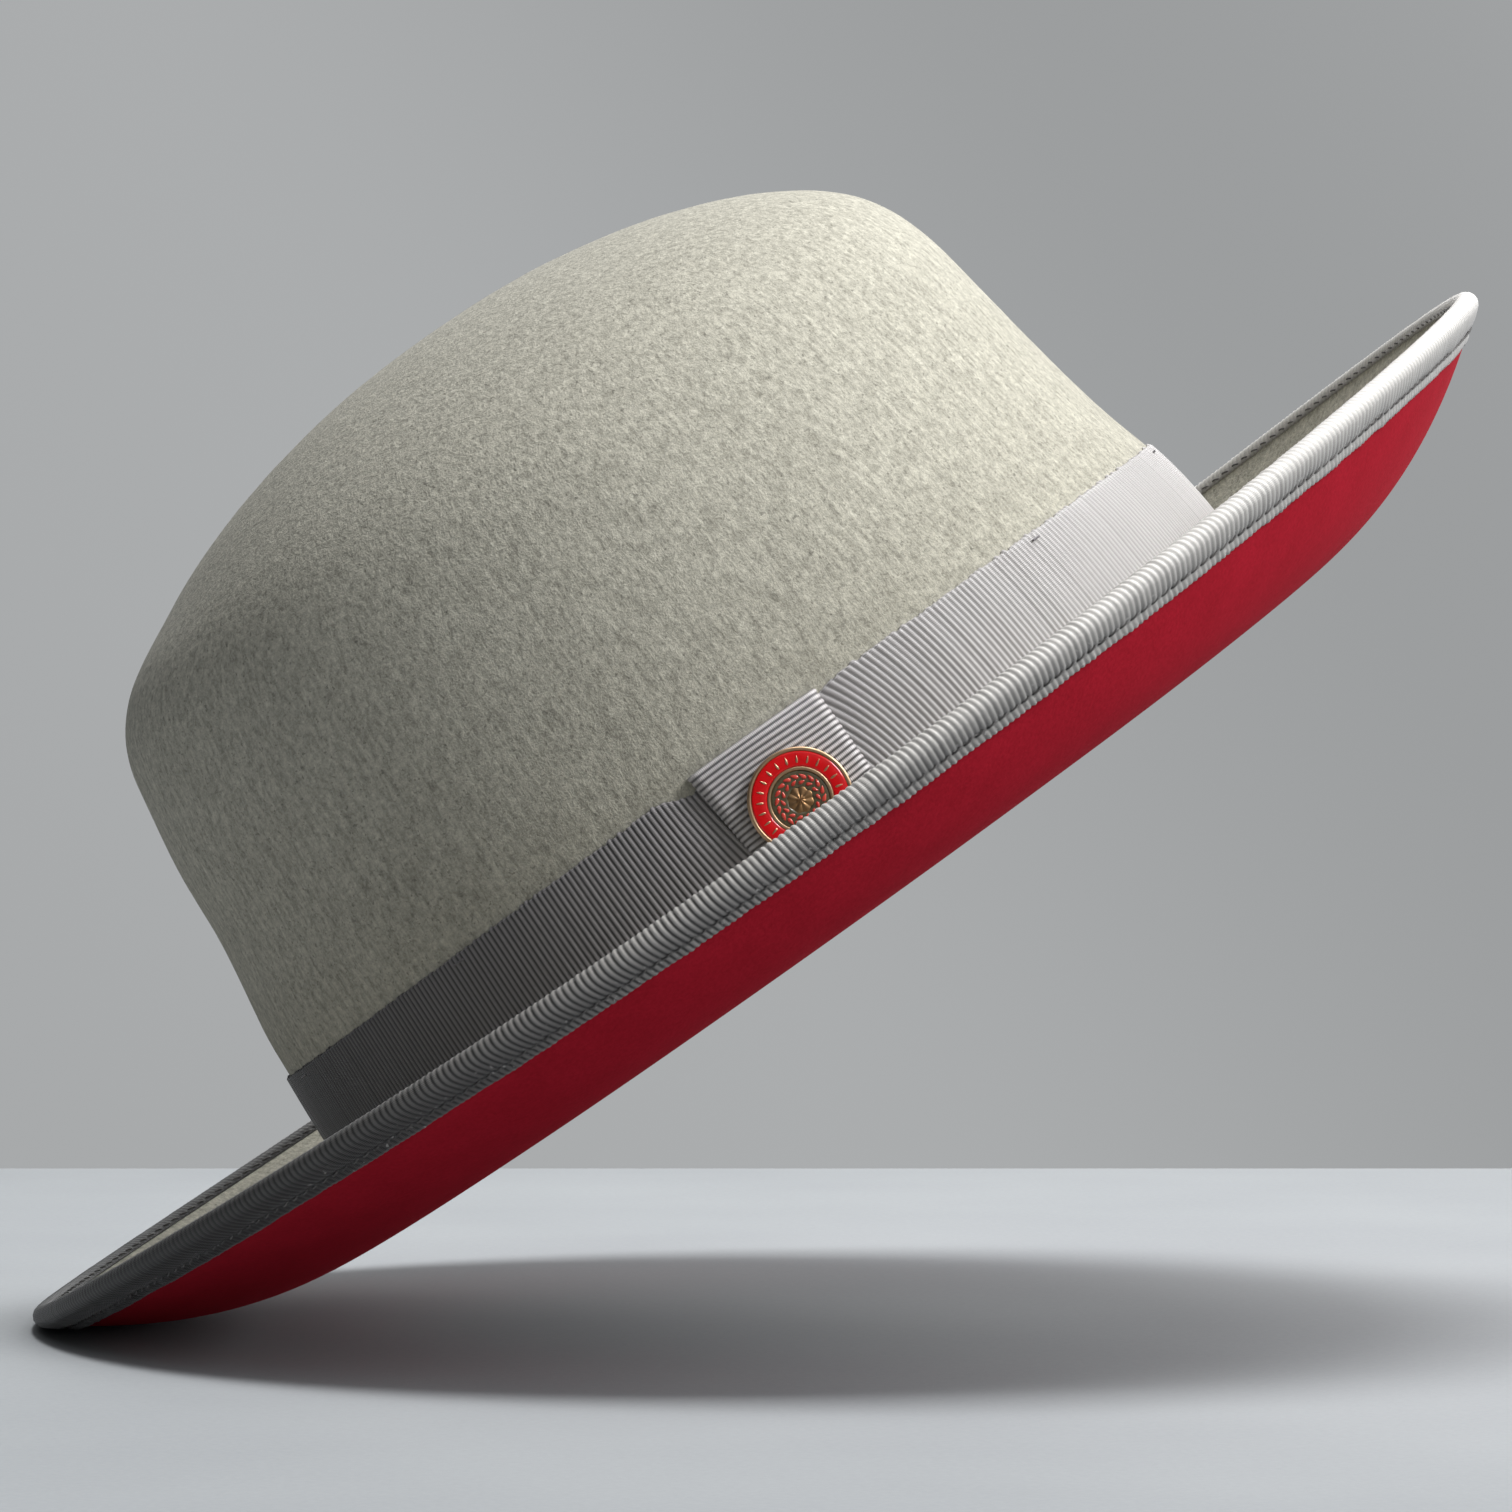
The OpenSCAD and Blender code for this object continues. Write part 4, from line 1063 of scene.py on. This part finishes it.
def sweat():
    n = 420
    gap = 0.0026
    a = np.linspace(gap, 2 * math.pi - gap, n)
    z = np.concatenate([[4.2, 4.4, 4.9], np.linspace(5.8, 34.0, 22), [34.8, 35.2, 35.5, 35.8, 36.2, 37.0, 37.6, 37.95]])
    A, Z = np.meshgrid(a, z, indexing="ij")
    flat = wall(A, Z, SWEAT_O)
    # leather stands off a little unevenly; its top edge waves, and a pressed line runs below it
    wave = 0.32 * noise(flat.reshape(-1, 3), 34, 51).reshape(A.shape) * np.clip((Z - 12) / 20, 0, 1)
    small = 0.05 * noise(flat.reshape(-1, 3), 5, 52).reshape(A.shape)
    press = -0.28 * np.exp(-((Z - 35.5) / 0.35) ** 2) - 0.16 * np.exp(-((Z - 8.2) / 0.5) ** 2)
    near_seam = np.exp(-(np.minimum(A, 2 * math.pi - A) / 0.02) ** 2)
    top = SWEAT_TOP - 0.25 + 0.22 * np.sin(A * 5 + 0.6)
    Z2 = 4.2 + (Z - 4.2) * (top - 4.2) / (37.95 - 4.2)
    outer = wall(A, Z2, SWEAT_O + wave * 0.6)
    thick = SWEAT_T + small + press - 0.25 * near_seam
    thick = thick * np.where((Z < 4.3) | (Z > 37.9), 0.55, 1.0)
    inner = wall(A, Z2, SWEAT_O + wave * 0.6 - thick)
    ob = strip_solid("sweatband_leather", outer, inner, False)
    finish_piece(ob, LEATHER, ["sweatband"])
    # the reed's casing: a roll along the lower edge, whipped with thread
    m = 480
    a2 = np.arange(m) * 2 * math.pi / m
    c = wall(a2, 6.2 + 0 * a2, -FELT_T - 1.2)
    c[:, 2] = 3.6
    v, q, _ = tube(c, 0.9 + 0.05 * np.sin(a2 * 97), 12)
    finish_piece(make("reed_roll", v, q), REED, ["sweatband_reed"])
    # running stitches along the lower edge, and crossed stitches over the butt seam
    heap = Heap()
    line = lambda x: wall(x, 6.6 + 0 * x, SWEAT_O - SWEAT_T)
    _, length = even_angles(line, 10)
    k = int(length / 3.4)
    sa, _ = even_angles(line, k)
    span = 2 * math.pi / k
    for x in sa:
        t = np.linspace(-0.33, 0.33, 5) * span
        heap.add(*tube(wall(x + t, 6.6 + 0 * t, SWEAT_O - SWEAT_T - 0.06 + np.array([0.45, 0.05, -0.08, 0.05, 0.45])), 0.2, 6, False))
    for i, zz in enumerate(np.arange(19.0, 36.0, 1.9)):
        for sgn in (-1, 1):
            t = np.linspace(-1, 1, 5)
            heap.add(*tube(wall(t * 0.021 * sgn, zz + t * 0.8, SWEAT_O - SWEAT_T - 0.02 + np.array([0.5, 0.0, -0.10 - 0.12 * (sgn > 0), 0.0, 0.5])), 0.17, 6, False))
    finish_piece(heap.build("sweatband_stitches"), THREAD, ["sweatband_thread"])


def bow():
    """Small flat ribbon bow over the back seam. u runs round the wall, w up it, n inwards."""
    R = float(np.interp(13.0, PROF_Z, PROF[:, 2]))
    heap = Heap()
    base = -(SWEAT_O - SWEAT_T) + 0.12

    def place(u, w, n):
        u, w, n = np.broadcast_arrays(u, w, n)
        ang = u / 88.0
        return wall(ang, 13.0 + w, -(base + n))

    for s in (-1, 1):
        # a loop, pinched at the knot and full at its end, with a hollow along its middle
        t = np.linspace(0, 1, 22)
        c = np.linspace(-1, 1, 13)
        T, C = np.meshgrid(t, c, indexing="ij")
        half = 0.9 + 1.75 * np.sin(np.clip(T, 0, 1) ** 0.8 * math.pi * 0.62) * np.sqrt(np.clip(1.0 - np.clip((T - 0.86) / 0.14, 0, 1) ** 2 * 0.7, 0.05, 1))
        U = s * (1.0 + 9.0 * T)
        W = half * C + 0.35 * np.sin(T * 3.0)
        N = 0.35 + 0.85 * np.sin(T * math.pi * 0.92 + 0.1) * (1 - 0.45 * np.exp(-(C / 0.35) ** 2)) * np.sqrt(np.clip(1.02 - C**2 * 0.6, 0, 1)) + 0.12 * np.cos(C * 9) * (1 - T)
        out, inn = place(U, W, N), place(U, W, 0.02 + 0 * N)
        nu, nv = T.shape
        b = nu * nv
        v = np.concatenate([out.reshape(-1, 3), inn.reshape(-1, 3)])
        ring = [i * nv for i in range(nu)] + [(nu - 1) * nv + j for j in range(1, nv)] + [i * nv + nv - 1 for i in range(nu - 2, -1, -1)] + [j for j in range(nv - 2, 0, -1)]
        r = np.array(ring)
        r2 = np.roll(r, -1)
        q = np.concatenate([grid_quads(nu, nv, False, False), grid_quads(nu, nv, False, False, b)[:, ::-1], np.stack([r, r2, r2 + b, r + b], -1)[:, ::-1]])
        heap.add(v, q if s > 0 else q[:, ::-1])
    # the knot
    u, w = np.meshgrid(np.linspace(0, 2 * math.pi, 33)[:-1], np.linspace(0, math.pi / 2, 9), indexing="ij")
    sq = lambda x: np.sign(x) * np.abs(x) ** 0.6
    U, W = 1.55 * sq(np.cos(u)) * np.cos(w) ** 0.5, 1.85 * sq(np.sin(u)) * np.cos(w) ** 0.5
    N = 1.45 * np.sin(w) * (1 + 0.06 * np.cos(U * 5)) + 0.02
    v = np.concatenate([place(U, W, N).reshape(-1, 3), place(np.zeros(1), np.zeros(1), np.zeros(1))])
    i = np.arange(32)
    heap.add(v, grid_quads(32, 9, True, False), np.stack([np.full(32, 288), ((i + 1) % 32) * 9, i * 9], -1))
    finish_piece(heap.build("sweatband_bow_ribbon"), SATIN_RIBBON, ["sweatband_bow"])


def lining():
    n = 720
    a = np.arange(n) * 2 * math.pi / n
    t0, t1 = t_of(29.0), t_of(109.6)
    t = np.linspace(t0, t1, 44)
    A, T = np.meshgrid(a, t, indexing="ij")
    rel = (T - t0) / (t1 - t0)
    # gathered into the tip's seam: many small pleats that open out downwards
    k = 84
    ph = k * A + 1.3 * noise(np.stack([60 * np.cos(A), 60 * np.sin(A), 40 * rel], -1).reshape(-1, 3), 22, 61).reshape(A.shape)
    amp = 0.08 + 0.34 * rel**1.3 + 0.10 * noise(np.stack([95 * np.cos(A), 85 * np.sin(A), 0 * A], -1).reshape(-1, 3), 12, 62).reshape(A.shape)
    fold = amp * (0.5 + 0.5 * np.sin(ph)) ** 1.6
    sag = 0.35 * np.clip(noise(np.stack([95 * np.cos(A), 85 * np.sin(A), 80 * rel], -1).reshape(-1, 3), 38, 63).reshape(A.shape), 0, 1) * np.sin(rel * math.pi)
    outer = crown_out(A, T, LINE_O + 0 * A)
    inner = crown_out(A, T, LINE_O - LINING_T - fold - sag)
    ob = strip_solid("lining_side_satin", outer, inner, True)
    finish_piece(ob, SATIN, ["lining_side"])
    # the tip: one oval piece, with faint pulls from its seam
    m = 480
    a = np.arange(m) * 2 * math.pi / m
    t = np.concatenate([np.linspace(t_of(112.2), TOP_S - 4.0, 26), [TOP_S - 1.8, TOP_S - 0.7]])
    A, T = np.meshgrid(a, t, indexing="ij")
    rel = (T - t[0]) / (t[-1] - t[0])
    pulls = 0.16 * np.exp(-rel / 0.12) * (0.5 + 0.5 * np.sin(63 * A + 2 * np.sin(5 * A)))
    soft = 0.20 * noise(crown_ps(A, T).reshape(-1, 3), 26, 64).reshape(A.shape) * np.sin(rel * math.pi) ** 0.5 * 0.5
    outer = crown_out(A, T, LINE_O + 0 * A)
    inner = crown_out(A, T, LINE_O - LINING_T - pulls * (rel < 0.6) - np.clip(soft, 0, 1))
    nv = len(t)
    b = m * nv
    v = np.concatenate([outer.reshape(-1, 3), inner.reshape(-1, 3), [[0.5, 0, 136.4 + LINE_O], [0.5, 0, 136.4 + LINE_O - LINING_T]]])
    i = np.arange(m)
    j = (i + 1) % m
    q = np.concatenate([grid_quads(m, nv, True, False), grid_quads(m, nv, True, False, b)[:, ::-1], np.stack([i * nv, i * nv + b, j * nv + b, j * nv], -1)])
    tr = np.concatenate([np.stack([np.full(m, 2 * b), i * nv + nv - 1, j * nv + nv - 1], -1), np.stack([np.full(m, 2 * b + 1), j * nv + nv - 1 + b, i * nv + nv - 1 + b], -1)])
    finish_piece(make("lining_tip_satin", v, q, tr), SATIN, ["lining_tip"])
    # two-ply cord in the seam
    m = 1400
    a = np.arange(m) * 2 * math.pi / m
    tm = (t_of(110.0) + t_of(113.5)) / 2
    c = crown_out(a, tm + 0 * a, LINE_O - LINING_T - 0.8 + 0 * a)
    sides = 10
    tg = unit(np.roll(c, -1, 0) - np.roll(c, 1, 0))
    x = unit(np.cross(tg, np.array([0, 0, 1.0])))
    y = np.cross(x, tg)
    kk = np.arange(sides) * 2 * math.pi / sides
    turn = a * 150
    rad = 0.50 + 0.13 * np.abs(np.cos(kk[None, :] - turn[:, None] / 2))
    g = c[:, None] + rad[..., None] * (np.cos(kk)[None, :, None] * x[:, None] + np.sin(kk)[None, :, None] * y[:, None])
    finish_piece(make("lining_piping_cord", g.reshape(-1, 3), grid_quads(m, sides)), PIPING, ["lining_piping"])
    # clear film over the tip
    m = 300
    a = np.arange(m) * 2 * math.pi / m
    t = np.concatenate([np.linspace(t_of(127.0) + 0.4, TOP_S - 4, 14), [TOP_S - 0.8]])
    A, T = np.meshgrid(a, t, indexing="ij")
    o = LINE_O - LINING_T - 0.62 - 0.05 * noise(crown_ps(A, T).reshape(-1, 3), 20, 66).reshape(A.shape)
    outer, inner = crown_out(A, T, o), crown_out(A, T, o - 0.2)
    nv = len(t)
    b = m * nv
    v = np.concatenate([outer.reshape(-1, 3), inner.reshape(-1, 3), [[0.5, 0, 136.4 + LINE_O - LINING_T - 0.62], [0.5, 0, 136.4 + LINE_O - LINING_T - 0.82]]])
    i = np.arange(m)
    j = (i + 1) % m
    q = np.concatenate([grid_quads(m, nv, True, False), grid_quads(m, nv, True, False, b)[:, ::-1], np.stack([i * nv, i * nv + b, j * nv + b, j * nv], -1)])
    tr = np.concatenate([np.stack([np.full(m, 2 * b), i * nv + nv - 1, j * nv + nv - 1], -1), np.stack([np.full(m, 2 * b + 1), j * nv + nv - 1 + b, i * nv + nv - 1 + b], -1)])
    finish_piece(make("tip_film", v, q, tr), FILM, ["tip_shield"])
    # blank woven tag, caught under the sweatband, its end folded over
    a = np.radians(np.linspace(12, 24, 40))
    z = np.linspace(27, 46, 34)
    A, Z = np.meshgrid(a, z, indexing="ij")
    o = LINE_O - LINING_T - 1.15 - 0.10 * np.sin((Z - 27) / 19 * math.pi) + 0.05 * np.sin(A * 60)
    weave = 0.035 * np.cos(np.arange(40) * math.pi)[:, None] * np.cos(np.arange(34) * math.pi)[None]
    rim_ = np.minimum(np.minimum(np.arange(40), 39 - np.arange(40))[:, None], 33 - np.arange(34)[None]) < 2
    outer = wall(A, Z, o)
    inner = wall(A, Z, o - 0.3 - weave - 0.10 * rim_ - 0.14 * (Z > 44.2))
    finish_piece(strip_solid("tag_blank", outer, inner, False), TAG, ["size_tag"])


sweat()
bow()
lining()

# ---------------------------------------------------------------------------
# Stage and light. The floor is level in the photograph, so it leans in the hat's frame.
# ---------------------------------------------------------------------------


def stage():
    floor_up = U_IMG
    tip = np.array([-RIM_LEN - 0.2, 0.0, TIP_Z - 0.6]) - floor_up * 0.9
    along = R_IMG
    back = np.cross(floor_up, along)
    n = 24
    s, r = np.linspace(-1, 1, n + 1), np.linspace(-900, FLOOR_BACK, n + 1)
    P = [tip + along * (u * 1100 + 150) + back * w for u in s for w in r]
    ob = make("floor", np.array(P), grid_quads(n + 1, n + 1, False, False))
    m = Mat("floor", Roughness=0.75, Specular_IOR_Level=0.2)
    v = m.coords()
    f = m.noise(v, 1.2, 3.0, 0.6)
    b = m.noise(v, 90.0, 2.0, 0.5)
    m.to("Base Color", m.mix(0.4, m.ramp(f, [(0.3, lin(140, 143, 146)), (0.7, lin(147, 150, 153))]), m.ramp(b, [(0.3, lin(138, 141, 144)), (0.7, lin(150, 153, 155))])))
    m.to("Normal", m.bump(f, 0.2, 0.15))
    geo = m.node("NewGeometry")
    clear = m.node("BsdfTransparent")
    mix = m.node("MixShader")
    m.link(geo.outputs["Backfacing"], mix.inputs[0])
    m.link(m.b.outputs[0], mix.inputs[1])
    m.link(clear.outputs[0], mix.inputs[2])
    out = m.t.nodes["Material Output"]
    m.link(mix.outputs[0], out.inputs["Surface"])
    ob.data.materials.append(m.m)
    me = ob.data
    if np.dot(np.array(me.polygons[0].normal), floor_up) < 0:
        me.flip_normals()
    return ob


FLOOR = stage()


def area(name, at, look, size, power, color=(1, 1, 1), size_y=None):
    d = bpy.data.lights.new(name, "AREA")
    d.shape = "RECTANGLE"
    d.size, d.size_y = size * MM, (size_y or size) * MM
    d.energy, d.color = power, color
    o = bpy.data.objects.new(name, d)
    bpy.context.collection.objects.link(o)
    o.location = Vector(np.array(at) * MM)
    o.rotation_mode = "QUATERNION"
    o.rotation_quaternion = (Vector(look) - Vector(at)).to_track_quat("-Z", "Y")
    return o


mid = np.array([0, 0, 60.0])
TOCAM = -fwd


def only(light, objs, state):
    """Lets a light fall on these objects alone (INCLUDE), or on all but these (EXCLUDE)."""
    c = bpy.data.collections.new(light.name + "_receivers")
    for o in objs:
        c.objects.link(o)
    light.light_linking.receiver_collection = c
    for k in c.collection_objects:
        k.light_linking.link_state = state


key = area("key", mid + 930 * R_IMG + 900 * U_IMG + 600 * TOCAM, mid, 380, 14.5)
only(key, [FLOOR], "EXCLUDE")
top = area("top", mid + 200 * R_IMG + 1150 * U_IMG - 60 * TOCAM, mid, 480, 7.5)
floor_top = area("floor_top", mid + 60 * R_IMG + 1100 * U_IMG + 30 * TOCAM, mid, 400, 13.5)
only(floor_top, [FLOOR], "INCLUDE")
area("far_side", mid + 300 * R_IMG + 500 * U_IMG - 1100 * TOCAM, mid, 900, 5)


def sky():
    """Soft room light from the upper right of the photograph, falling off to the lower left."""
    w = bpy.data.worlds.new("world")
    bpy.context.scene.world = w
    w.use_nodes = True
    t = w.node_tree
    bg = t.nodes["Background"]
    tc = t.nodes.new("ShaderNodeTexCoord")
    dot = t.nodes.new("ShaderNodeVectorMath")
    dot.operation = "DOT_PRODUCT"
    dot.inputs[1].default_value = tuple(unit(0.80 * R_IMG + 0.50 * U_IMG - 0.22 * TOCAM))
    t.links.new(tc.outputs["Generated"], dot.inputs[0])
    half = t.nodes.new("ShaderNodeMath")
    half.operation = "MULTIPLY_ADD"
    half.inputs[1].default_value = half.inputs[2].default_value = 0.5
    t.links.new(dot.outputs["Value"], half.inputs[0])
    r = t.nodes.new("ShaderNodeValToRGB")
    e = r.color_ramp.elements
    stops = [(0.0, 0.035), (0.36, 0.045), (0.48, 0.09), (0.54, 0.40), (0.60, 0.415), (0.67, 0.34), (0.74, 0.40), (0.85, 0.98), (1.0, 1.05)]
    while len(e) < len(stops):
        e.new(0.5)
    r.color_ramp.interpolation = "EASE"
    for el, (pos, c) in zip(e, stops):
        el.position, el.color = pos, (0.975 * c, c, 1.015 * c, 1)
    t.links.new(half.outputs[0], r.inputs["Fac"])
    t.links.new(r.outputs["Color"], bg.inputs["Color"])
    bg.inputs["Strength"].default_value = 1.0


sky()
bpy.context.scene.view_settings.view_transform = "Standard"
